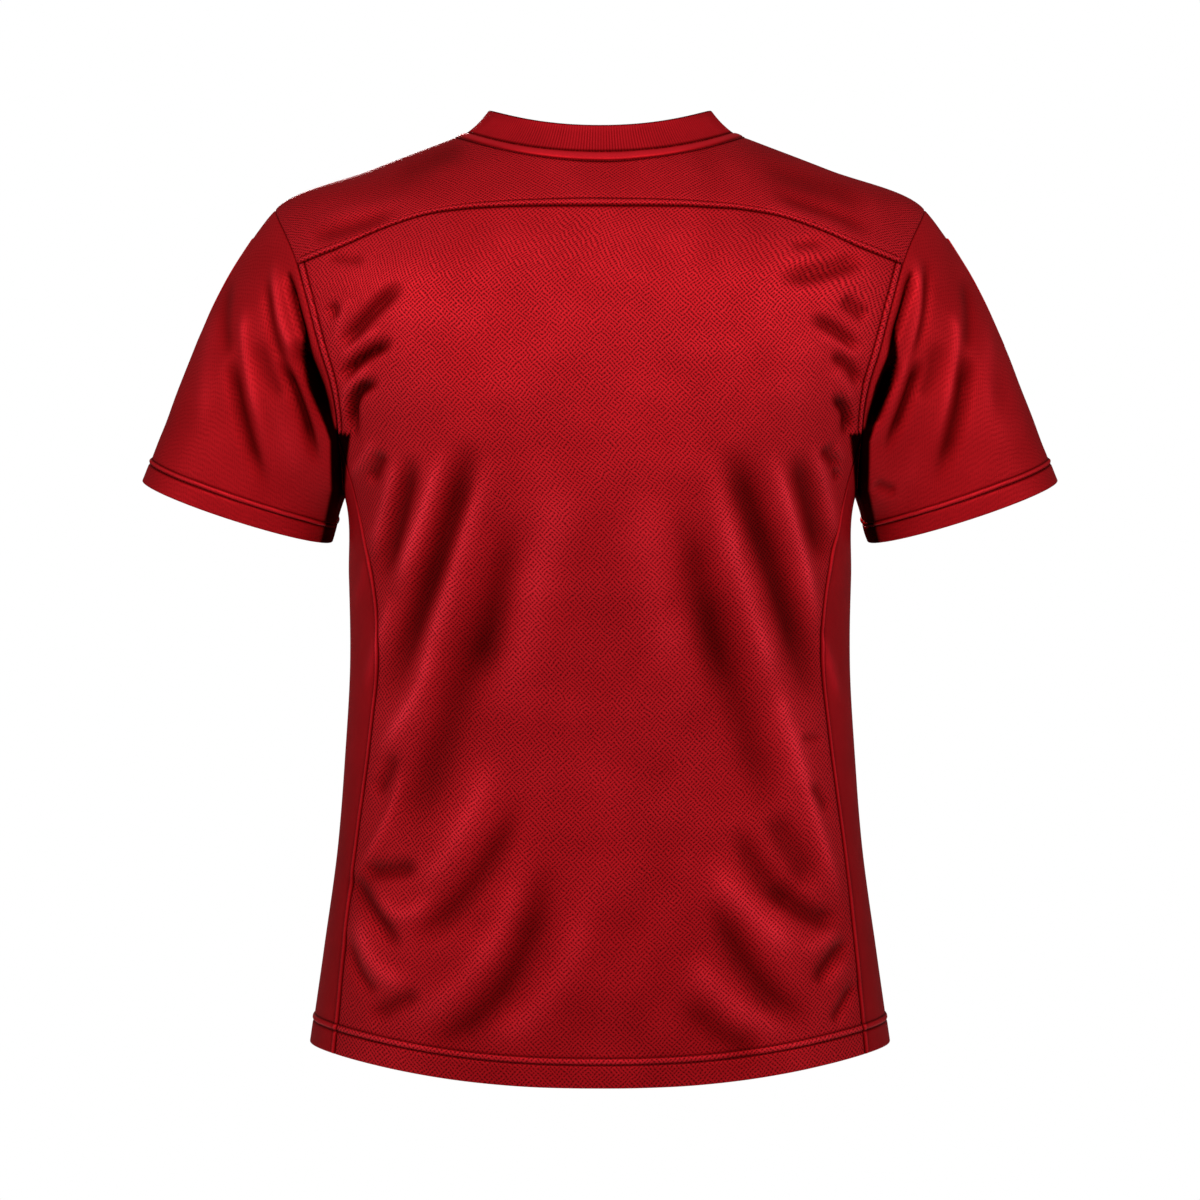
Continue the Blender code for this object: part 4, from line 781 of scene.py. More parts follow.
# ======== patches of the body
class Patch:
    """The body's surface inside four edges, read at shares of the way across and up."""

    def __init__(self, left, right, bottom, top, corner=None):
        self.left, self.right, self.bottom, self.top = left, right, bottom, top
        self.rise = (left[1] - left[1][0]) / (left[1][-1] - left[1][0])
        self.corner = corner  # share up at which the side seam gives way to the armhole
        self.probe = probe = np.linspace(0, 1, EDGE_PROBES)
        near = EDGE_NEAR
        self.scales = {
            "left": self.span(0 * probe, probe, 0 * probe + near, probe) / near,
            "right": self.span(1 + 0 * probe, probe, 1 - near + 0 * probe, probe) / near,
            "bottom": self.span(probe, 0 * probe, probe, 0 * probe + near) / near,
            "top": self.span(probe, 1 + 0 * probe, probe, 1 - near + 0 * probe) / near,
        }

    def edge(self, line, share, knots=None):
        knots = np.linspace(0, 1, len(line[0])) if knots is None else knots
        return np.stack([np.interp(share, knots, column) for column in line], axis=-1)

    def pair(self, across, up):
        """(angle, level) at shares across and up."""
        across, up = np.broadcast_arrays(across, up)
        left, right = (self.edge(line, up, self.rise) for line in (self.left, self.right))
        bottom, top = self.edge(self.bottom, across), self.edge(self.top, across)
        run, rise = across[..., None], up[..., None]
        corners = [self.edge(line, np.array(end)) for line in (self.bottom, self.top) for end in (0.0, 1.0)]
        low = corners[0] * (1 - run) + corners[1] * run
        high = corners[2] * (1 - run) + corners[3] * run
        pair = bottom * (1 - rise) + top * rise + left * (1 - run) + right * run
        pair = pair - low * (1 - rise) - high * rise
        return pair[..., 0], pair[..., 1]

    def span(self, across, up, other_across, other_up):
        """Distance between the places at two lists of shares."""
        ends = smooth_body(*self.pair(across, up)) - smooth_body(*self.pair(other_across, other_up))
        return np.linalg.norm(ends, axis=-1)

    def scale(self, edge, share):
        """Metres for one share across or up, beside an edge."""
        return np.interp(share, self.probe, self.scales[edge])


def spread(low, high, count):
    """Evenly spaced values between two arrays, without either of them, along a new first axis."""
    share = np.linspace(0, 1, count + 1)[1:-1].reshape((-1,) + (1,) * np.ndim(low))
    return low + (high - low) * share


def stacked(low_lines, high_lines, low_scale, high_scale, count):
    """Shares from 0 to 1: fine lines at distances from both ends, and even ones between."""
    low = [line * MILLIMETRE / low_scale for line in low_lines]
    high = [1 - line * MILLIMETRE / high_scale for line in high_lines[::-1]]
    return np.stack(low + list(spread(low[-1], high[0], count)) + high)


def lay_out(patch, columns, rows, lines):
    """Shares across and up a patch on a fine grid, with the distances of its places from the four edges."""
    mean = {edge: patch.scales[edge].mean() for edge in lines}
    nominal_up = stacked(lines["bottom"], lines["top"], mean["bottom"], mean["top"], rows)
    nominal_across = stacked(lines["left"], lines["right"], mean["left"], mean["right"], columns)
    left, right = patch.scale("left", nominal_up), patch.scale("right", nominal_up)
    bottom, top = patch.scale("bottom", nominal_across), patch.scale("top", nominal_across)
    across = stacked(lines["left"], lines["right"], left, right, columns).T
    up = stacked(lines["bottom"], lines["top"], bottom, top, rows)
    away = {
        "left": across * left[:, None],
        "right": (1 - across) * right[:, None],
        "bottom": up * bottom[None],
        "top": (1 - up) * top[None],
    }
    return across, up, away


def running(points, axis):
    """Distance run along one axis of a grid of points."""
    steps = np.linalg.norm(np.diff(points, axis=axis), axis=-1)
    start = np.zeros_like(np.take(steps, [0], axis=axis))
    return np.concatenate([start, np.cumsum(steps, axis=axis)], axis=axis)


# ======== relief of seams and hems
class Relief:
    """How far a panel's outside stands over its folded surface, and how much light its cloth gets there."""

    def __init__(self, folds):
        self.height = np.zeros(folds.shape)
        self.light = np.exp(FOLD_CONTRAST * settings()[0].fold_shade * folds)

    def darken(self, share):
        self.light *= 1 - share

    def groove(self, distance, depth, width, mask=1.0):
        """A groove along a line, with its shade."""
        share = bell(distance, width) * mask
        self.height -= depth * share
        self.darken(settings()[1].groove_shade * share)

    def seam(self, distance, mask=1.0):
        """The groove where two panels meet."""
        self.groove(distance, settings()[1].ditch, SEAM_WIDTH, mask)

    def felled(self, distance, mask=1.0):
        """The band beside a topstitched seam, where the seam's layers lie under the cloth."""
        seams = settings()[1]
        past = distance - seams.fell_width
        held = ease(distance, 0.0, FELL_FOOT) * (1 - ease(past, *FELL_END))
        crown = FELL_CROWN * np.sin(math.pi * np.clip(distance / seams.fell_width, 0, 1))
        self.height += seams.fell_rise * held * (1 - FELL_CROWN + crown) * mask
        self.darken(-FELL_LIGHT * held * mask)
        self.groove(past, seams.sink, FELL_GROOVE, mask)

    def piped(self, distance):
        """The soft ridge along a seam that is pressed to one side."""
        self.height += PIPE_RISE * bell(distance - PIPE_PLACE, PIPE_WIDTH)
        self.darken(-PIPE_LIGHT * bell(distance - PIPE_CREST, PIPE_CREST_WIDTH))
        place, *shape = PIPE_GROOVE
        self.groove(distance - place, *shape)

    def neck(self, distance):
        """The shade beside the neck tape, where its chain stitch sinks into the cloth."""
        place, *shape = NECK_GROOVE
        self.groove(distance - place, *shape)

    def hem(self, distance, rows):
        """A turned hem: a flat double layer, a ridge between its rows of stitches, then the plain cloth."""
        cloth, seams = settings()
        low, high = rows
        swell = np.sin(math.pi * np.clip((distance - low) / (high - low), 0, 1))
        self.height += cloth.hem_extra * (1 - ease(distance - high, *HEM_END))
        self.height += HEM_SWELL * swell
        self.darken(-HEM_SWELL_LIGHT * swell)
        self.groove(distance - low, HEM_LOW_SINK * seams.sink, HEM_LOW_WIDTH)
        self.groove(distance - high, seams.sink, HEM_HIGH_WIDTH, HEM_HIGH_SHARE)

    def walls(self, from_edge, rows):
        """Heights of a hemmed panel's outside and inside: thicker in the hem and rounded at its edge."""
        cloth = settings()[0]
        inside = -cloth.wall - cloth.hem_extra * (1 - ease(from_edge - rows[1], 0.0, HEM_TURN))
        near = 1 - np.clip(from_edge / EDGE_ROUND, 0, 1)
        kept = np.maximum(np.sqrt(1 - near**2), EDGE_LEAST)
        middle, half = (self.height + inside) / 2, (self.height - inside) / 2 * kept
        return middle + half, middle - half


def armpit_shade(points, table):
    """How dark the cloth is where a sleeve and the body lie against each other."""
    out = np.abs(points[..., 0])
    begins, ends = (np.interp(points[..., 2], table["z"], table[edge]) for edge in ("begins_x", "ends_x"))
    behind = ARMPIT_FRONT + (ARMPIT_BACK - ARMPIT_FRONT) * ease(points[..., 1], *ARMPIT_DEPTHS)
    return behind * ease(out - begins, *ARMPIT_BEGINS) * (1 - ease(out - ends, *ARMPIT_ENDS))


def slow_shade(points):
    """Share of the light that the back's cloth gets at its place."""
    behind = ease(points[..., 1], *BACK_DEPTHS)
    low = ease(-points[..., 2], *SMALL_OF_BACK)
    flank = ease(np.abs(points[..., 0]), *FLANK)
    return 1 + behind * (FLANK_LIGHT * flank - SMALL_OF_BACK_SHADE * low)


# ======== meshes
def cloth_grid(points, flat, light, ring):
    """A grid of faces over rows and columns of points; a ring's last column is its first again."""
    rows, columns = points.shape[:2]
    mesh = bmesh.new()
    bmesh.ops.create_grid(mesh, x_segments=columns - 1, y_segments=rows - 1, size=1)
    number = mesh.verts.layers.int.new("number")
    cloth = mesh.loops.layers.uv.new("cloth")
    lit = mesh.verts.layers.float.new("light")
    places, sizes, lights = points.reshape(-1, 3), flat.reshape(-1, 2), light.reshape(-1)
    for index, vertex in enumerate(mesh.verts):
        vertex.co = places[index]
        vertex[number] = index
        vertex[lit] = lights[index]
    for face in mesh.faces:
        for loop in face.loops:
            loop[cloth].uv = sizes[loop.vert[number]]
    if ring:
        bmesh.ops.remove_doubles(mesh, verts=mesh.verts, dist=ROUNDING)
    return mesh, number


def closed(name, mesh, number):
    """An object for a closed mesh, with its faces outwards and its numbers gone."""
    bmesh.ops.recalc_face_normals(mesh, faces=mesh.faces)
    mesh.verts.layers.int.remove(number)
    return finished(name, mesh)


def shell(name, outer, inner, flat, light, ring=False):
    """A closed thin shell between two grids of points."""
    mesh, number = cloth_grid(outer, flat, light, ring)
    inside = inner.reshape(-1, 3)
    pulled = bmesh.ops.extrude_face_region(mesh, geom=mesh.faces[:])
    for item in pulled["geom"]:
        if isinstance(item, bmesh.types.BMVert):
            item.co = inside[item[number]]
    return closed(name, mesh, number)


def tube(name, section, flat, light):
    """A closed ring swept from a closed section; rows run round the section, columns round the neck."""
    mesh, number = cloth_grid(section, flat, np.broadcast_to(light, section.shape[:2]), ring=True)
    return closed(name, mesh, number)


def finished(name, mesh):
    """An object for a finished mesh, shaded smooth but for its rims."""
    data = bpy.data.meshes.new(name)
    mesh.to_mesh(data)
    mesh.free()
    data.shade_smooth()
    data.set_sharp_from_angle(angle=SHARP_TURN)
    piece = bpy.data.objects.new(name, data)
    bpy.context.scene.collection.objects.link(piece)
    return piece


def dress(piece, material, slot, *nodes):
    """Give a piece its finish and its place on the body, and hide the solids that it stands for."""
    piece.data.materials.append(material)
    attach(piece, "root")
    if nodes:
        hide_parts(*nodes)
    return piece


def declare(cut):
    cut = CUTS[cut]


def body_panel(name, patch, columns, rows, lines, relief_of, through=None):
    """A hemmed panel of the body; relief_of adds its seams to a relief from its edge distances."""
    seams = settings()[1]
    across, up, away = lay_out(patch, columns, rows, lines)
    angle, level = patch.pair(across, up)
    smooth, normals, folds = smooth_body(angle, level), body_normal(angle, level), body_folds(angle, level)
    points = smooth + normals * folds[..., None]
    relief = Relief(folds)
    relief.hem(away["bottom"], seams.hem_rows)
    relief_of(relief, away, up)
    relief.darken(armpit_shade(points, ARMPIT_BODY))
    relief.light *= slow_shade(points)
    outside, inside = relief.walls(away["bottom"], seams.hem_rows)
    direction = normals.copy()
    if through is not None:
        through(direction, up)
    grain = np.stack([running(smooth, 1), running(smooth, 0)], axis=-1)
    grain[..., 0] -= grain[:, columns // 2 : columns // 2 + 1, 0]
    outer = points + direction * outside[..., None]
    inner = points + direction * inside[..., None]
    return shell("cloth_" + name, outer, inner, grain, relief.light)


# ======== sleeves
def on_side(angle, side):
    return angle if side > 0 else math.pi - angle


def mirror_x(vector, side):
    return np.array(vector) * (side, 1, 1)


class SleeveShape:
    """One sleeve's loft: part is 0 at the armhole seam and 1 at the cuff."""

    def __init__(self, side):
        self.side = side
        self.axis = unit(mirror_x(CUFF_AXIS, side))
        self.arrive = unit(mirror_x(SLEEVE_HANG, side))
        self.deep = unit(np.array((0.0, 1.0, 0.0)) - self.axis * self.axis[1])
        wide = np.cross(self.deep, self.axis)
        self.wide = wide * np.sign(wide[0] * side)

    def ends(self, turn):
        """The seam's point, the way the cloth leaves it, the cuff's point and the length between them."""
        angle, level = armhole(turn)
        point = body(on_side(angle, self.side), level)
        normal = body_normal(on_side(angle, self.side), level)
        ahead, behind = armhole(turn + FINE_STEP), armhole(turn - FINE_STEP)
        seam = smooth_body(on_side(ahead[0], self.side), ahead[1])
        seam = unit(seam - smooth_body(on_side(behind[0], self.side), behind[1]))
        out_of_body = unit(np.cross(normal, seam)) * self.side
        top = ease(-np.cos(turn), *SLEEVE_TOP)
        follow = (SLEEVE_LEAVES[0] * (1 - top) + SLEEVE_LEAVES[1] * top)[..., None]
        leave = unit(out_of_body * follow + self.axis * (1 - follow))
        turned = np.asarray(turn)[..., None]
        cuff = CUFF_DEEP * self.deep * np.sin(turned) - CUFF_WIDE * self.wide * np.cos(turned)
        cuff = cuff + mirror_x(CUFF_CENTRE, self.side)
        return point, leave, cuff, np.linalg.norm(cuff - point, axis=-1)

    def grid(self, turns, parts):
        """Points and normals on a grid: turns for its columns and parts for every place."""
        point, leave, cuff, length = self.ends(turns)
        length = length[:, None]
        part = parts[..., None]
        square, cube = part**2, part**3
        place = (
            point * (2 * cube - 3 * square + 1)
            + leave * length * (cube - 2 * square + part)
            + cuff * (3 * square - 2 * cube)
            + self.arrive * length * (cube - square)
        )
        normal = self.normals(place)
        back = ease(np.sin(turns), *SLEEVE_BACK)
        height = fold_height(place[..., 0], place[..., 2], SLEEVE_BACK_FOLDS) * back
        height += fold_height(place[..., 0], place[..., 2], SLEEVE_FRONT_FOLDS) * (1 - back)
        height += ripple(place[..., 0] + place[..., 1], place[..., 2])
        height *= ease(parts, 0.0, SLEEVE_FOLDS_START) * ease(1 - parts, *SLEEVE_FOLDS_STOP)
        return place + height[..., None] * normal, normal, height

    def normals(self, place):
        """Normals of a grid whose last column is its first again."""
        ring = np.concatenate([place[:, -2:-1], place, place[:, 1:2]], axis=1)
        along = ring[:, 2:] - ring[:, :-2]
        up = np.gradient(place, axis=0)
        return unit(np.cross(along, up)) * self.side


def sleeve_turns():
    """Turns round a sleeve from its underarm seam, with fine lines beside it."""
    fine = np.array(PLAIN_SEAM_LINES[:5]) * MILLIMETRE / SLEEVE_ROUND
    even = np.linspace(fine[-1], 2 * math.pi - fine[-1], SLEEVE_COLUMNS)
    return np.concatenate([fine[:-1], even, 2 * math.pi - fine[-2::-1]])


def sleeve_parts(shape, turns):
    """Parts down a sleeve: fine lines at the seam and at the cuff, even ones between."""
    length = shape.ends(turns)[3]
    return stacked(PLAIN_SEAM_LINES, CUFF_LINES, length, length, SLEEVE_ROWS)


def mitre(shape, turns, sleeve_normals):
    """Direction through the wall at the armhole seam, shared by the body and the sleeve."""
    angle, level = armhole(turns)
    return unit(body_normal(on_side(angle, shape.side), level) + sleeve_normals)


def mitred(side, wanted):
    """The shared direction at turns round an armhole."""
    shape = SleeveShape(side)
    turns = sleeve_turns()
    parts = np.stack([0 * turns + part for part in (0.0, EDGE_NEAR, 2 * EDGE_NEAR)])
    mitres = mitre(shape, turns, shape.grid(turns, parts)[1][1])
    return unit(np.stack([np.interp(wanted, turns, column) for column in mitres.T], axis=-1))


def make_sleeve(side, name):
    seams = settings()[1]
    shape = SleeveShape(side)
    turns = sleeve_turns()
    parts = sleeve_parts(shape, turns)
    points, normals, folds = shape.grid(turns, parts)
    length = shape.ends(turns)[3]
    from_seam, from_cuff = parts * length, (1 - parts) * length
    from_underarm = np.minimum(turns, 2 * math.pi - turns) * SLEEVE_ROUND
    relief = Relief(np.minimum(folds, SLEEVE_CREST))
    relief.darken(SLEEVE_SHADE)
    relief.seam(from_seam)
    relief.hem(from_cuff, seams.cuff_rows)
    relief.seam(from_underarm, UNDERARM_SEAM * ease(from_cuff, 0.0, UNDERARM_START))
    relief.darken(armpit_shade(points, ARMPIT_SLEEVE) * (1 - ease(points[..., 2], *ARMPIT_SLEEVE_TOP)))
    outside, inside = relief.walls(from_cuff, seams.cuff_rows)
    direction = normals.copy()
    direction[0] = mitre(shape, turns, normals[1])
    outer = points + direction * outside[..., None]
    inner = points + direction * inside[..., None]
    outer[:, -1], inner[:, -1] = outer[:, 0], inner[:, 0]
    grain = np.stack(np.broadcast_arrays(turns * SLEEVE_ROUND, -from_seam), axis=-1)
    piece = shell("cloth_sleeve_" + name, outer, inner, grain, relief.light, ring=True)
    dress(piece, mesh_cloth("sleeve_" + name, SLEEVE_WEAVE), "mesh_cloth", "sleeve_" + name)
    declare("sleeve")


# ======== body panels
def armhole_line(low, high):
    return armhole(np.linspace(low, high, EDGE_LINES // 2))


def hem_edge(low_angle, high_angle):
    angle = np.linspace(low_angle, high_angle, EDGE_LINES)
    return angle, 0 * angle


def back_patch():
    seam = side_seam(1)
    left = joined(seam, armhole_line(TURN_SIDE_BACK, TURN_YOKE))
    right = math.pi - left[0], left[1]
    bottom = hem_edge(left[0][0], right[0][0])
    return Patch(left, right, bottom, yoke_seam(), corner=seam[1][-1] / left[1][-1])


def front_patch():
    seam = side_seam(-1)
    left = joined(seam, armhole_line(-TURN_SIDE_FRONT, TURN_SHOULDER - 2 * math.pi), shoulder_seam())
    right = -math.pi - left[0], left[1]
    bottom = hem_edge(right[0][0], left[0][0])
    top = neck_line(np.linspace(right[0][-1], left[0][-1], EDGE_LINES))
    return Patch(right, left, bottom, top, corner=seam[1][-1] / left[1][-1])


def side_patch(side):
    """Side panel: its upper edge is the bottom of the armhole."""
    top = armhole_line(-TURN_SIDE_FRONT, TURN_SIDE_BACK)
    front, back = side_seam(-1), side_seam(1)
    bottom = hem_edge(front[0][0], back[0][0])
    if side > 0:
        return Patch(front, back, bottom, top)
    return Patch(*((math.pi - line[0], line[1]) for line in (back, front)), mirrored(bottom), mirrored(top))


def yoke_grid():
    """The yoke as rows from its lower edge, which runs over both shoulders, up to the neck tape."""
    shoulder = armhole_line(TURN_SHOULDER, TURN_YOKE)
    edge = joined(shoulder, yoke_seam(), mirrored(shoulder))
    share = np.linspace(0, 1, YOKE_COLUMNS + 1)
    run = running(smooth_body(*edge), 0)
    corner = run[len(shoulder[0]) - 1] / run[-1]
    share = np.unique(np.concatenate([share, [corner, 1 - corner]]))
    angle, level = (np.interp(share * run[-1], run, column) for column in edge)
    neck_share = np.interp(share * run[-1], run, np.linspace(0, 1, len(run)))
    neck = neck_line(SHOULDER_SEAM_NECK + (math.pi - 2 * SHOULDER_SEAM_NECK) * neck_share)
    length = np.linalg.norm(smooth_body(angle, level) - smooth_body(*neck), axis=-1)
    up = stacked(FELLED_SEAM_LINES, NECK_LINES, length, length, YOKE_ROWS)
    pairs = angle * (1 - up) + neck[0] * up, level * (1 - up) + neck[1] * up
    return pairs, up * length, share, corner


def mitre_edges(direction, up, patch, column_sides, face, top=1.0):
    """Turn the direction through a panel's wall, on the stretches of its edges that meet a sleeve."""
    for column, side in column_sides:
        rows = (up[:, column] >= patch.corner - ROUNDING) & (up[:, column] <= top)
        level = patch.edge(patch.left, up[rows, column], patch.rise)[:, 1]
        direction[rows, column] = mitred(side, face * armhole_turn(level) % (2 * math.pi))


def shoulder_share(front):
    """Share up the front at which its edges leave the armholes for the shoulder seams."""
    return front.rise[-EDGE_LINES // 4]


def armhole_share(patch, up, top=1.0):
    """0 beside the side seam and 1 beside the armhole."""
    return ease(up - patch.corner, -CORNER_BLEND, CORNER_BLEND) * (1 - ease(up - top, -TIP_BLEND, TIP_BLEND))


def edge_lines(sides, top):
    """Fine lines beside the four edges of a panel."""
    return {"left": sides, "right": sides, "bottom": HEM_LINES, "top": top}


def make_back():
    patch = back_patch()

    def relief(made, away, up):
        sides = np.minimum(away["left"], away["right"])
        made.seam(sides)
        made.seam(away["top"])
        made.felled(sides, armhole_share(patch, up))

    def through(direction, up):
        mitre_edges(direction, up, patch, ((0, 1), (-1, -1)), 1)

    lines = edge_lines(FELLED_SEAM_LINES, PLAIN_SEAM_LINES)
    piece = body_panel("back", patch, BACK_COLUMNS, BACK_ROWS, lines, relief, through)
    dress(piece, mesh_cloth("back"), "mesh_cloth", "back")
    declare("back")


def make_front():
    patch = front_patch()
    tip = shoulder_share(patch)

    def relief(made, away, up):
        sides = np.minimum(away["left"], away["right"])
        on_shoulder = ease(up - tip, -TIP_BLEND, TIP_BLEND)
        made.seam(sides, 1 - (1 - SHOULDER_SEAM_DEPTH) * on_shoulder)
        made.felled(sides, armhole_share(patch, up, tip))
        made.neck(away["top"])

    def through(direction, up):
        mitre_edges(direction, up, patch, ((0, -1), (-1, 1)), -1, tip)

    lines = edge_lines(FELLED_SEAM_LINES, NECK_LINES)
    piece = body_panel("front", patch, FRONT_COLUMNS, FRONT_ROWS, lines, relief, through)
    dress(piece, mesh_cloth("front"), "mesh_cloth", "front")
    declare("front")


def make_side(side, name):
    def relief(made, away, up):
        sides = np.minimum(away["left"], away["right"])
        made.seam(sides)
        made.seam(away["top"])
        made.piped(sides)
        made.darken(SIDE_SHADE)

    lines = edge_lines(FELLED_SEAM_LINES[:SIDE_FELL_LINES], PLAIN_SEAM_LINES)
    piece = body_panel("side_" + name, side_patch(side), SIDE_COLUMNS, SIDE_ROWS, lines, relief)
    dress(piece, side_cloth("side_" + name), "side_cloth", "side_" + name)
    declare("side")


def make_yoke():
    cloth = settings()[0]
    (angle, level), away, share, corner = yoke_grid()
    smooth, normals, folds = smooth_body(angle, level), body_normal(angle, level), body_folds(angle, level)
    points = smooth + normals * folds[..., None]
    run = running(points, 1)
    across_back = ease(np.minimum(share, 1 - share) - corner, -TIP_BLEND, TIP_BLEND)
    on_shoulder = ease(normals[..., 2], *SHOULDER_SLOPE) * ease(np.abs(points[..., 0]), *SHOULDER_OUT)
    relief = Relief(folds)
    relief.seam(away, SHOULDER_SEAM_DEPTH + (1 - SHOULDER_SEAM_DEPTH) * across_back)
    relief.felled(away, across_back)
    relief.neck(away[-1:] - away)
    relief.seam(np.minimum(run, run[:, -1:] - run))
    relief.light *= slow_shade(points)
    relief.darken(SHOULDER_SHADE * on_shoulder)
    direction = normals.copy()
    for rows, side in ((share <= corner, 1), (share >= 1 - corner, -1)):
        wanted = armhole_turn(level[0, rows])
        over = run[0, rows]
        tip = level[0, rows].argmax()
        past = over < over[tip] if side > 0 else over > over[tip]
        direction[0, rows] = mitred(side, np.where(past, 2 * math.pi - wanted, wanted))
    grain = np.stack([YOKE_STRETCH * smooth[..., 0], smooth[..., 2] - smooth[..., 1]], axis=-1)
    outer = points + direction * relief.height[..., None]
    inner = points - direction * cloth.wall
    piece = shell("cloth_yoke", outer, inner, grain, relief.light)
    dress(piece, mesh_cloth("yoke", YOKE_WEAVE), "mesh_cloth", "yoke")
    declare("yoke")


# ======== neck
def even_angles(ring, count):
    """Angles evenly spaced by distance round a ring."""
    angle = np.linspace(0, 2 * math.pi, GIRTH_STEPS)
    run = running(ring_point(angle, np.array(ring, float)), 0)
    return np.interp(np.linspace(0, run[-1], count + 1), run, angle)


def collar_surface(angle, share):
    """The neckband's outside: share is 0 at the neck seam and 1 at the top edge."""
    share = np.asarray(share)[..., None]
    return ring_point(angle, RING_ROWS[-1] * (1 - share) + np.array(COLLAR_TOP) * share)


def collar_normal(angle, share):
    along, up = slopes_of(collar_surface, angle, share)
    return unit(np.cross(along, up))


def make_collar():
    """Ribbed band that stands up from the neck seam and turns over at its top edge."""
    neck = bpy.context.scene.jersey_neck
    angles = even_angles(COLLAR_TOP, neck.ribs * RIB_COLUMNS)
    half = neck.band_wall / 2
    rise = np.concatenate([np.linspace(COLLAR_FOOT, COLLAR_STRAIGHT, COLLAR_ROWS), [COLLAR_TURN]])
    bend = np.linspace(0, math.pi, TURN_ROWS)[1:-1]
    share = np.concatenate([rise, COLLAR_TURN + np.sin(bend) * half / COLLAR_HEIGHT, rise[::-1], rise[:1]])
    depth = np.concatenate([0 * rise, half * (1 - np.cos(bend)), 0 * rise + 2 * half, [0.0]])
    inward = depth + COLLAR_BOW * 4 * share * (1 - share)
    rib = np.abs(np.sin(math.pi * np.arange(len(angles)) / RIB_COLUMNS)) ** RIB_POINT - 0.5
    upright = 1 - TOP_RIBS * ease(rise, *TOP_RIBS_FADE)
    fade = np.concatenate([upright, TURN_RIBS + 0 * bend, upright[::-1], [1]])
    outward = np.where(np.arange(len(share)) < len(rise) + len(bend) / 2, 1.0, -1.0)
    outward[-1] = 1.0
    lift = neck.rib_rise * rib[None] * (fade * outward)[:, None]
    angle_grid, share_grid = np.broadcast_arrays(angles[None], share[:, None])
    section = collar_surface(angle_grid, share_grid)
    section = section + collar_normal(angle_grid, share_grid) * (lift - inward[:, None])[..., None]
    section[:, -1] = section[:, 0]
    girth = running(ring_point(angles, np.array(COLLAR_TOP)), 0)
    grain = np.stack(np.broadcast_arrays(girth[None], running(section, 0)[:, :1]), axis=-1)
    foot = 1 - COLLAR_FOOT_SHADE * (1 - ease(rise * COLLAR_HEIGHT, *COLLAR_FOOT_REACH))
    shade = np.concatenate([foot, TURN_LIGHT + 0 * bend, 1 + 0 * rise, [1.0]])
    shade[len(rise) - 1] = TURN_EDGE_LIGHT
    between_ribs = (0.5 - rib)[None] * (fade * outward).clip(0)[:, None]
    light = (1 - RIB_SHADE * between_ribs) * shade[:, None]
    piece = tube("neckband", section, grain, light)
    dress(piece, rib_knit("collar"), "rib_knit", "collar")
    declare("collar")


def make_tape():
    """Tape sewn over the neck seam, rounded on its outside."""
    neck = bpy.context.scene.jersey_neck
    angles = even_angles(RINGS["neck"], TAPE_COLUMNS)
    low = neck_line(angles)[1]
    up = slopes_of(smooth_body, angles, low)[1]
    pace = np.linalg.norm(up, axis=-1)
    normal = body_normal(angles, low)
    start, stop = TAPE_SPAN
    share = np.linspace(start, stop, TAPE_ROWS)
    off_crown = np.abs(2 * share - (start + stop)) / (stop - start)
    rise = neck.tape_rise * np.clip(1 - off_crown**TAPE_FLAT, 0, 1) ** TAPE_EDGE - TAPE_SUNK
    underside = [(1.0, -TAPE_UNDERSIDE), (0.0, -TAPE_UNDERSIDE), (start, rise[0])]
    rings = []
    for part, height in [*zip(share, rise), *underside]:
        level = low + (NECK_LEVEL - low) * part
        place = body(angles, np.minimum(level, NECK_LEVEL))
        place = place + unit(up) * (np.maximum(level - NECK_LEVEL, 0) * pace)[:, None]
        rings.append(place + normal * height)
    section = np.stack(rings)
    section[:, -1] = section[:, 0]
    girth = running(section[(TAPE_ROWS + 1) // 2], 0)
    grain = np.stack(np.broadcast_arrays(girth[None], running(section, 0)[:, :1]), axis=-1)
    crown = 1 - (2 * np.abs(share - TAPE_LIT_MIDDLE) / (stop - start)) ** 3
    light = np.concatenate([TAPE_EDGE_LIGHT + crown, [1.0, 1.0, TAPE_EDGE_LIGHT]])
    piece = tube("cloth_tape", section, grain, light[:, None])
    dress(piece, tape_cloth("neck_tape"), "tape", "neck_tape")
    declare("tape")


# ======== stitches
def stitch_seed(length, width, height):
    """One stitch along +X, lying on the XY plane."""
    mesh = bmesh.new()
    bmesh.ops.create_uvsphere(mesh, u_segments=STITCH_SIDES, v_segments=STITCH_RINGS, radius=0.5)
    bmesh.ops.rotate(mesh, verts=mesh.verts, matrix=Matrix.Rotation(math.pi / 2, 3, "Y"))
    bmesh.ops.scale(mesh, verts=mesh.verts, vec=(length, width, height))
    data = bpy.data.meshes.new("stitch")
    mesh.to_mesh(data)
    mesh.free()
    return data


def sewn(mesh, points, normals, lift, pitch, seed):
    """Add stitches to a mesh along a line of points, a pitch apart and a lift above it."""
    points = points + normals * lift
    run = running(points, 0)
    stops = np.arange(pitch / 2, run[-1], pitch)
    places = np.stack([np.interp(stops, run, column) for column in points.T], axis=-1)
    ups = unit(np.stack([np.interp(stops, run, column) for column in normals.T], axis=-1))
    sides = unit(np.cross(ups, np.gradient(places, axis=0)))
    tangents = np.cross(sides, ups)
    for place, tangent, side, up in zip(places, tangents, sides, ups):
        turn = np.stack([tangent, side, up, place], axis=-1).tolist()
        turn = Matrix((*turn, (0, 0, 0, 1)))
        seed.transform(turn)
        mesh.from_mesh(seed)
        seed.transform(turn.inverted())


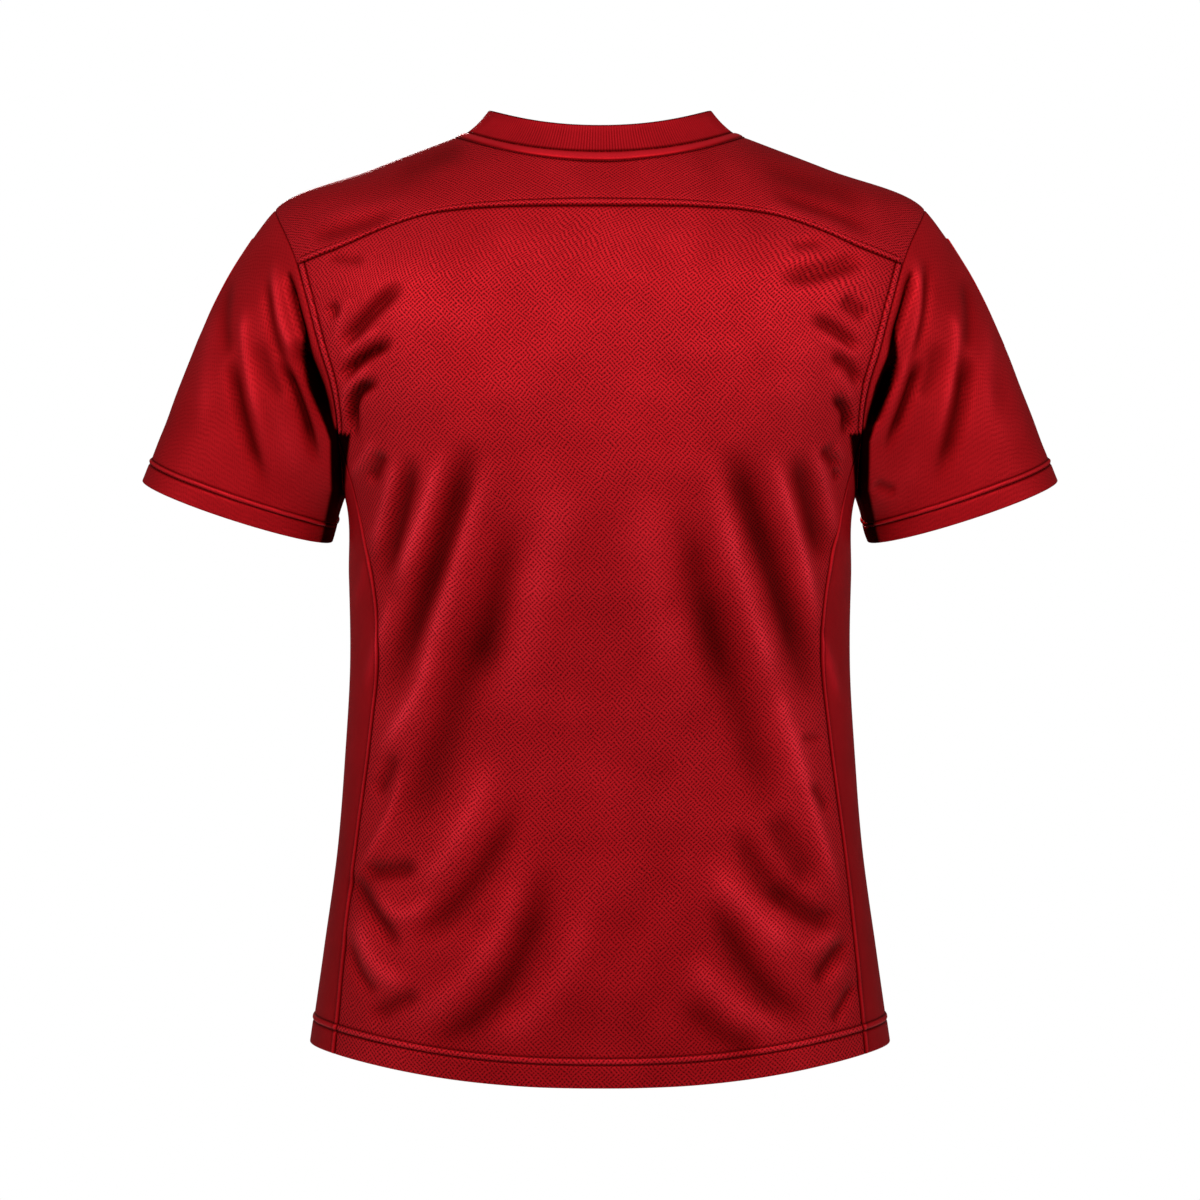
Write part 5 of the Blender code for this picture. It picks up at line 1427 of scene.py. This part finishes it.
def patch_line(patch, edge, distance, start=0.0, stop=1.0):
    """Points and normals along a line at a distance from one edge of a patch."""
    share = np.linspace(start, stop, ROW_POINTS)
    reach = distance / patch.scale(edge, share)
    across, up = {
        "left": (reach, share),
        "right": (1 - reach, share),
        "bottom": (share, reach),
        "top": (share, 1 - reach),
    }[edge]
    angle, level = patch.pair(across, up)
    return body(angle, level), body_normal(angle, level)


def panel_rows(seams):
    """Rows round the hem, down the side panels and round the armholes, each as points, normals and lift."""
    back, front = back_patch(), front_patch()
    sides = side_patch(1), side_patch(-1)
    around = [patch_line(patch, "bottom", height)
              for patch in (back, front, *sides) for height in seams.hem_rows]
    down = [patch_line(patch, edge, SIDE_STITCHES) for patch in sides for edge in ("left", "right")]
    in_band = seams.fell_width - BAND_STITCHES
    tops = (back, 1.0), (front, shoulder_share(front))
    armholes = [patch_line(patch, edge, in_band, patch.corner, top)
                for patch, top in tops for edge in ("left", "right")]
    lifts = STITCH_LIFT, STITCH_LIFT, BAND_LIFT * seams.fell_rise
    return [[(*line, lift) for line in rows] for rows, lift in zip((around, down, armholes), lifts)]


def yoke_row(seams):
    """The row above the yoke's seam, across the back only."""
    pairs, away, share, corner = yoke_grid()
    columns = np.flatnonzero((share > corner) & (share < 1 - corner))
    in_band = seams.fell_width - BAND_STITCHES
    at = np.array([np.interp(in_band, away[:, column], np.arange(len(away))) for column in columns])
    low = np.floor(at).astype(int)
    mix = at - low
    line = [grid[low, columns] * (1 - mix) + grid[low + 1, columns] * mix for grid in pairs]
    return body(*line), body_normal(*line), BAND_LIFT * seams.fell_rise


def cuff_rows(seams):
    """Two rows round each cuff."""
    rows = []
    turns = np.linspace(0, 2 * math.pi, CUFF_POINTS)
    for side in (1, -1):
        shape = SleeveShape(side)
        length = shape.ends(turns)[3]
        for height in seams.cuff_rows:
            parts = np.stack([1 - (height + step) / length for step in (MILLIMETRE, 0.0, -MILLIMETRE)])
            points, normals, _ = shape.grid(turns, parts)
            rows.append((points[1], normals[1], STITCH_LIFT))
    return rows


def neck_row():
    """The chain of stitches just below the neck tape."""
    angles = np.linspace(0, 2 * math.pi, NECK_POINTS)
    low = neck_line(angles)[1]
    pace = np.linalg.norm(slopes_of(smooth_body, angles, low)[1], axis=-1)
    level = low - NECK_STITCHES / pace
    return body(angles, level), body_normal(angles, level), STITCH_LIFT


def sew(name, rows, pitch, seed):
    """One piece of stitches along every row given."""
    mesh = bmesh.new()
    for points, normals, lift in rows:
        sewn(mesh, points, normals, lift, pitch, seed)
    piece = finished("stitches_" + name, mesh)
    dress(piece, thread(piece.name), "mesh_cloth")


def make_stitches():
    """Every visible row of stitching, as joined meshes."""
    seams = settings()[1]
    seed = stitch_seed(seams.stitch_length, seams.stitch_width, seams.stitch_width * STITCH_FLAT)
    link = stitch_seed(*NECK_LINK)
    hem, sides, armholes = panel_rows(seams)
    sew("hem", hem, seams.stitch_pitch, seed)
    sew("armholes", armholes, seams.stitch_pitch, seed)
    sew("yoke", [yoke_row(seams)], seams.stitch_pitch, seed)
    sew("side_seams", sides, seams.stitch_pitch, seed)
    sew("cuffs", cuff_rows(seams), seams.stitch_pitch, seed)
    sew("neck", [neck_row()], NECK_PITCH, link)
    for data in (seed, link):
        bpy.data.meshes.remove(data)


# ======== shader node groups
def linked(tree, socket, value):
    """Feed a socket from another socket, or set its number."""
    if isinstance(value, bpy.types.NodeSocket):
        tree.links.new(value, socket)
    else:
        socket.default_value = value


def add_node(tree, kind, inputs=None, **options):
    node = tree.nodes.new(kind)
    for name, value in options.items():
        setattr(node, name, value)
    for name, value in (inputs or {}).items():
        linked(tree, node.inputs[name], value)
    return node


def calculate(tree, operation, *values):
    """A Math node's result."""
    return add_node(tree, "ShaderNodeMath", dict(enumerate(values)), operation=operation).outputs[0]


def vector_math(tree, operation, first, second):
    return add_node(tree, "ShaderNodeVectorMath", {0: first, 1: second}, operation=operation).outputs[0]


def remap(tree, value, low, high, new_low=0.0, new_high=1.0):
    inputs = {"Value": value, "From Min": low, "From Max": high, "To Min": new_low, "To Max": new_high}
    return add_node(tree, "ShaderNodeMapRange", inputs, interpolation_type="SMOOTHSTEP").outputs["Result"]


def noise(tree, vector, scale, detail):
    inputs = {"Vector": vector, "Scale": scale, "Detail": detail}
    return add_node(tree, "ShaderNodeTexNoise", inputs)


def waves_along(tree, place, turn, length):
    """A sine wave from 0 to 1 along a coordinate."""
    turns = calculate(tree, "DIVIDE", calculate(tree, "MULTIPLY", place, turn), length)
    return calculate(tree, "MULTIPLY_ADD", calculate(tree, "SINE", turns), 0.5, 0.5)


def new_group(name, inputs, outputs):
    """An empty shader node group with named sockets, and its two end nodes."""
    tree = bpy.data.node_groups.new(name, "ShaderNodeTree")
    for socket, default in inputs.items():
        kind = "NodeSocketVector" if default is None else "NodeSocketFloat"
        made = tree.interface.new_socket(name=socket, in_out="INPUT", socket_type=kind)
        if default is not None:
            made.default_value = default
    for socket in outputs:
        tree.interface.new_socket(name=socket, in_out="OUTPUT", socket_type="NodeSocketFloat")
    return tree, tree.nodes.new("NodeGroupInput").outputs, tree.nodes.new("NodeGroupOutput").inputs


def micromesh_group():
    """Mesh knit: diagonal ridges that change direction in patches, with small pits between them."""
    if "Micromesh" in bpy.data.node_groups:
        return bpy.data.node_groups["Micromesh"]
    tree, given, result = new_group("Micromesh", {"Vector": None, "Cell": MESH_CELL}, ("Height", "Pit"))
    wander = noise(tree, given["Vector"], WANDER_SCALE, 1.0)
    offset = vector_math(tree, "SUBTRACT", wander.outputs["Color"], (0.5, 0.5, 0.5))
    offset = vector_math(tree, "MULTIPLY", offset, (WANDER, WANDER, 0.0))
    place = vector_math(tree, "ADD", given["Vector"], offset)
    parts = add_node(tree, "ShaderNodeSeparateXYZ", {"Vector": place}).outputs
    ridges = []
    for operation in ("ADD", "SUBTRACT"):
        diagonal = calculate(tree, operation, parts["X"], parts["Y"])
        ridges.append(waves_along(tree, diagonal, math.pi * math.sqrt(2), given["Cell"]))
    patches = noise(tree, given["Vector"], PATCH_SCALE, 1.0)
    share = remap(tree, patches.outputs["Fac"], *PATCH_EDGES)
    mix = add_node(tree, "ShaderNodeMix", {"Factor": share, "A": ridges[0], "B": ridges[1]})
    gaps = [calculate(tree, "SUBTRACT", 1.0, ridge) for ridge in ridges]
    pit = remap(tree, calculate(tree, "MULTIPLY", *gaps), *PIT_EDGES)
    linked(tree, result["Pit"], pit)
    linked(tree, result["Height"], calculate(tree, "MULTIPLY_ADD", pit, -PIT_DEPTH, mix.outputs["Result"]))
    return tree


def fine_knit_group():
    """Smooth fine knit: rows of small loops."""
    if "Fine knit" in bpy.data.node_groups:
        return bpy.data.node_groups["Fine knit"]
    tree, given, result = new_group("Fine knit", {"Vector": None, "Loop": SIDE_KNIT.loop}, ("Height",))
    parts = add_node(tree, "ShaderNodeSeparateXYZ", {"Vector": given["Vector"]}).outputs
    waves = [waves_along(tree, parts[axis], 2 * math.pi, given["Loop"]) for axis in ("X", "Y")]
    linked(tree, result["Height"], calculate(tree, "MULTIPLY", *waves))
    return tree


def dye_group():
    """Slow changes of shade over dyed cloth."""
    if "Dyed cloth" in bpy.data.node_groups:
        return bpy.data.node_groups["Dyed cloth"]
    tree, given, result = new_group("Dyed cloth", {"Vector": None, "Scale": MESH_DYE_SCALE}, ("Shade",))
    clouds = noise(tree, given["Vector"], given["Scale"], DYE_DETAIL)
    linked(tree, result["Shade"], remap(tree, clouds.outputs["Fac"], *DYE_EDGES))
    return tree


def place_group(tree, group, inputs):
    node = add_node(tree, "ShaderNodeGroup", node_tree=group)
    for name, value in inputs.items():
        linked(tree, node.inputs[name], value)
    return node.outputs


def new_material(name):
    """A material with its Principled shader and the piece's own cloth coordinates."""
    material = bpy.data.materials.new(name)
    material.use_nodes = True
    tree = material.node_tree
    shader = tree.nodes["Principled BSDF"]
    grain = add_node(tree, "ShaderNodeUVMap", uv_map="cloth").outputs["UV"]
    return material, tree, shader, grain


def tinted(tree, colour, darker, amount):
    """A colour that falls towards a darker share of itself by an amount that changes over the surface."""
    dark = [channel * darker for channel in colour]
    mix = add_node(tree, "ShaderNodeMix", data_type="RGBA")
    linked(tree, mix.inputs[0], amount)
    mix.inputs[6].default_value = (*colour, 1.0)
    mix.inputs[7].default_value = (*dark, 1.0)
    return mix.outputs[2]


def folded(tree, colour, shader):
    """A colour under the light that its place in the folds and seams gets; deep shade loses its sheen."""
    light = add_node(tree, "ShaderNodeAttribute", attribute_name="light").outputs["Fac"]
    share = shader.inputs["Metallic"].default_value
    tree.links.new(remap(tree, light, 0.0, DEEP_LIGHT, 1.0, share), shader.inputs["Metallic"])
    # green and blue follow the square of the painted light, so painted highlights pale towards pink and
    # painted shade deepens to a fuller red
    deep = calculate(tree, "MULTIPLY", light, light)
    hue = add_node(tree, "ShaderNodeCombineXYZ", {"X": light, "Y": deep, "Z": deep}).outputs[0]
    lit = vector_math(tree, "MULTIPLY", colour, hue)
    tree.links.new(lit, shader.inputs["Base Color"])


def satin(shader, roughness, share):
    """Dyed fibres tint their own highlights; share is how much of the light they send back that way."""
    shader.inputs["Roughness"].default_value = roughness
    shader.inputs["Metallic"].default_value = share
    shader.inputs["Specular Tint"].default_value = SHEEN_TINT


def bumped(tree, shader, height, distance):
    bump = add_node(tree, "ShaderNodeBump", {"Height": height, "Distance": distance, "Strength": 1.0})
    tree.links.new(bump.outputs["Normal"], shader.inputs["Normal"])


def mesh_cloth(name, depth=1.0):
    """Satin mesh cloth of the body and the sleeves; depth is how dark the gaps between its ridges are."""
    cloth = settings()[0]
    material, tree, shader, grain = new_material(name + "_mesh_cloth")
    mesh = place_group(tree, micromesh_group(), {"Vector": grain, "Cell": cloth.mesh_cell})
    dye = place_group(tree, dye_group(), {"Vector": grain, "Scale": MESH_DYE_SCALE})
    low = calculate(tree, "SUBTRACT", 1.0, mesh["Height"])
    amount = calculate(tree, "MULTIPLY", dye["Shade"], MESH_DYE_SHADE)
    amount = calculate(tree, "MULTIPLY_ADD", low, MESH_GAP_SHADE * depth, amount)
    amount = calculate(tree, "MULTIPLY_ADD", mesh["Pit"], MESH_PIT_SHADE * depth, amount)
    satin(shader, MESH_ROUGHNESS, MESH_SHEEN)
    folded(tree, tinted(tree, cloth.body_colour, DEEPEST, amount), shader)
    roughness = calculate(tree, "MULTIPLY_ADD", low, MESH_ROUGHER, MESH_ROUGHNESS)
    tree.links.new(roughness, shader.inputs["Roughness"])
    bumped(tree, shader, mesh["Height"], MESH_RELIEF * depth)
    return material


def smooth_knit(name, colour, knit):
    """Smooth knit of the side panels, the neckband and the tape."""
    material, tree, shader, grain = new_material(name + "_knit")
    loops = place_group(tree, fine_knit_group(), {"Vector": grain, "Loop": knit.loop})
    dye = place_group(tree, dye_group(), {"Vector": grain, "Scale": KNIT_DYE_SCALE})
    amount = calculate(tree, "MULTIPLY_ADD", loops["Height"], KNIT_LOOP_SHADE, KNIT_SHADE)
    amount = calculate(tree, "MULTIPLY_ADD", dye["Shade"], KNIT_DYE_SHADE, amount)
    satin(shader, knit.roughness, knit.sheen)
    folded(tree, tinted(tree, colour, DEEPEST, amount), shader)
    bumped(tree, shader, loops["Height"], knit.relief)
    return material


def side_cloth(name):
    return smooth_knit(name, settings()[0].side_colour, SIDE_KNIT)


def rib_knit(name):
    return smooth_knit(name, settings()[0].rib_colour, RIB_KNIT)


def tape_cloth(name):
    return smooth_knit(name, settings()[0].tape_colour, TAPE_KNIT)


def thread(name):
    """Twisted thread of the stitches."""
    material = bpy.data.materials.new(name + "_thread")
    material.use_nodes = True
    tree = material.node_tree
    shader = tree.nodes["Principled BSDF"]
    place = add_node(tree, "ShaderNodeTexCoord").outputs["Object"]
    inputs = {"Vector": place, "Scale": THREAD_TWIST, "Distortion": 1.0}
    twist = add_node(tree, "ShaderNodeTexWave", inputs, bands_direction="DIAGONAL").outputs["Fac"]
    colour = tinted(tree, settings()[0].thread_colour, THREAD_DARK, twist)
    tree.links.new(colour, shader.inputs["Base Color"])
    satin(shader, THREAD_ROUGHNESS, THREAD_SHEEN)
    bumped(tree, shader, twist, THREAD_RELIEF)
    return material


# ======== stage
def soft_light(name, light, side, power):
    """A rectangular soft light that faces its target."""
    data = bpy.data.lights.new(name, "AREA")
    data.shape = "RECTANGLE"
    data.size, data.size_y = light.size
    data.energy = power * light.share
    lamp = bpy.data.objects.new(name, data)
    bpy.context.scene.collection.objects.link(lamp)
    lamp.location = mirror_x(light.place, side)
    heading = mirror_x(light.target, side) - mirror_x(light.place, side)
    lamp.rotation_euler = Matrix(look_along(heading)).to_euler()


def look_along(heading):
    """Rows of a rotation whose -Z looks along a heading, with +Z of the world above."""
    back = -unit(np.array(heading, float))
    right = unit(np.cross((0.0, 0.0, 1.0), back))
    return np.stack([right, np.cross(back, right), back], axis=-1).tolist()


def make_floor(height):
    mesh = bmesh.new()
    bmesh.ops.create_circle(mesh, cap_ends=True, segments=FLOOR_SIDES, radius=FLOOR_RADIUS)
    bmesh.ops.translate(mesh, verts=mesh.verts, vec=(0, 0, height))
    floor = finished("floor", mesh)
    material = bpy.data.materials.new("floor_paper")
    material.use_nodes = True
    shader = material.node_tree.nodes["Principled BSDF"]
    shader.inputs["Base Color"].default_value = FLOOR_PAPER
    shader.inputs["Roughness"].default_value = FLOOR_ROUGHNESS
    floor.data.materials.append(material)


def make_world():
    """White behind the jersey, and a dim soft glow for everything else."""
    world = bpy.data.worlds.new("studio")
    bpy.context.scene.world = world
    world.use_nodes = True
    tree = world.node_tree
    tree.nodes.clear()
    seen = add_node(tree, "ShaderNodeBackground", {"Color": WHITE, "Strength": 1.0})
    glow = add_node(tree, "ShaderNodeBackground", {"Color": WHITE, "Strength": GLOW})
    path = add_node(tree, "ShaderNodeLightPath").outputs["Is Camera Ray"]
    mix = add_node(tree, "ShaderNodeMixShader", {0: path, 1: glow.outputs[0], 2: seen.outputs[0]})
    output = add_node(tree, "ShaderNodeOutputWorld")
    tree.links.new(mix.outputs[0], output.inputs["Surface"])


def make_camera(stage):
    data = bpy.data.cameras.new("camera")
    data.sensor_width = SENSOR
    data.lens = data.sensor_width * stage.camera_distance / stage.frame_width
    camera = bpy.data.objects.new("camera", data)
    bpy.context.scene.collection.objects.link(camera)
    camera.location = (0.0, stage.camera_distance, stage.camera_height)
    camera.rotation_euler = (math.pi / 2, 0.0, math.pi)
    bpy.context.scene.camera = camera


def make_stage():
    stage = bpy.context.scene.jersey_stage
    make_camera(stage)
    make_world()
    make_floor(stage.floor_height)
    for light in PAIRED_LIGHTS:
        for side, word in ((1, "left_"), (-1, "right_")):
            soft_light(word + light.name, light, side, stage.key_power)
    soft_light(FRONT_LIGHT.name, FRONT_LIGHT, 1, stage.key_power)
    bpy.context.scene.view_settings.view_transform = "Standard"


# ======== operators
class JERSEY_OT_back(bpy.types.Operator):
    """Make the back panel"""

    bl_idname = "jersey.back"
    bl_label = "Back"

    def execute(self, context):
        make_back()
        return {"FINISHED"}


class JERSEY_OT_yoke(bpy.types.Operator):
    """Make the yoke over both shoulders"""

    bl_idname = "jersey.yoke"
    bl_label = "Yoke"

    def execute(self, context):
        make_yoke()
        return {"FINISHED"}


class JERSEY_OT_front(bpy.types.Operator):
    """Make the front panel"""

    bl_idname = "jersey.front"
    bl_label = "Front"

    def execute(self, context):
        make_front()
        return {"FINISHED"}


class JERSEY_OT_sides(bpy.types.Operator):
    """Make the two side panels"""

    bl_idname = "jersey.sides"
    bl_label = "Side panels"

    def execute(self, context):
        for side, name in ((1, "left"), (-1, "right")):
            make_side(side, name)
        return {"FINISHED"}


class JERSEY_OT_sleeves(bpy.types.Operator):
    """Make the two sleeves"""

    bl_idname = "jersey.sleeves"
    bl_label = "Sleeves"

    def execute(self, context):
        for side, name in ((1, "left"), (-1, "right")):
            make_sleeve(side, name)
        return {"FINISHED"}


class JERSEY_OT_neck(bpy.types.Operator):
    """Make the ribbed neckband and the tape under it"""

    bl_idname = "jersey.neck"
    bl_label = "Neckband and tape"

    def execute(self, context):
        make_collar()
        make_tape()
        return {"FINISHED"}


class JERSEY_OT_stitches(bpy.types.Operator):
    """Sew every visible row of stitches"""

    bl_idname = "jersey.stitches"
    bl_label = "Stitches"

    def execute(self, context):
        make_stitches()
        return {"FINISHED"}


class JERSEY_OT_stage(bpy.types.Operator):
    """Set up the camera, the floor and the lights"""

    bl_idname = "jersey.stage"
    bl_label = "Stage"

    def execute(self, context):
        make_stage()
        return {"FINISHED"}


class JERSEY_PT_sidebar(bpy.types.Panel):
    """Lists the jersey's pieces and its settings"""

    bl_idname = "JERSEY_PT_sidebar"
    bl_label = "Football Jersey"
    bl_space_type = "VIEW_3D"
    bl_region_type = "UI"
    bl_category = "Jersey"

    def draw(self, context):
        for operator in OPERATORS:
            self.layout.operator(operator.bl_idname)
        for attribute, group in GROUPS.items():
            for name in group.__annotations__:
                self.layout.prop(getattr(context.scene, attribute), name)


OPERATORS = (JERSEY_OT_back, JERSEY_OT_yoke, JERSEY_OT_front, JERSEY_OT_sides, JERSEY_OT_sleeves,
             JERSEY_OT_neck, JERSEY_OT_stitches, JERSEY_OT_stage)
GROUPS = {"jersey_cloth": JerseyCloth, "jersey_seams": JerseySeams, "jersey_neck": JerseyNeck,
          "jersey_stage": JerseyStage}


def register():
    for group in (*GROUPS.values(), *OPERATORS, JERSEY_PT_sidebar):
        bpy.utils.register_class(group)
    for attribute, group in GROUPS.items():
        setattr(bpy.types.Scene, attribute, bpy.props.PointerProperty(type=group))


def unregister():
    for attribute in GROUPS:
        delattr(bpy.types.Scene, attribute)
    for group in reversed((*GROUPS.values(), *OPERATORS, JERSEY_PT_sidebar)):
        bpy.utils.unregister_class(group)


def main():
    register()
    bpy.ops.jersey.stage()
    bpy.ops.jersey.back()
    bpy.ops.jersey.yoke()
    bpy.ops.jersey.front()
    bpy.ops.jersey.sides()
    bpy.ops.jersey.sleeves()
    bpy.ops.jersey.neck()
    bpy.ops.jersey.stitches()


if __name__ == "__main__":
    main()
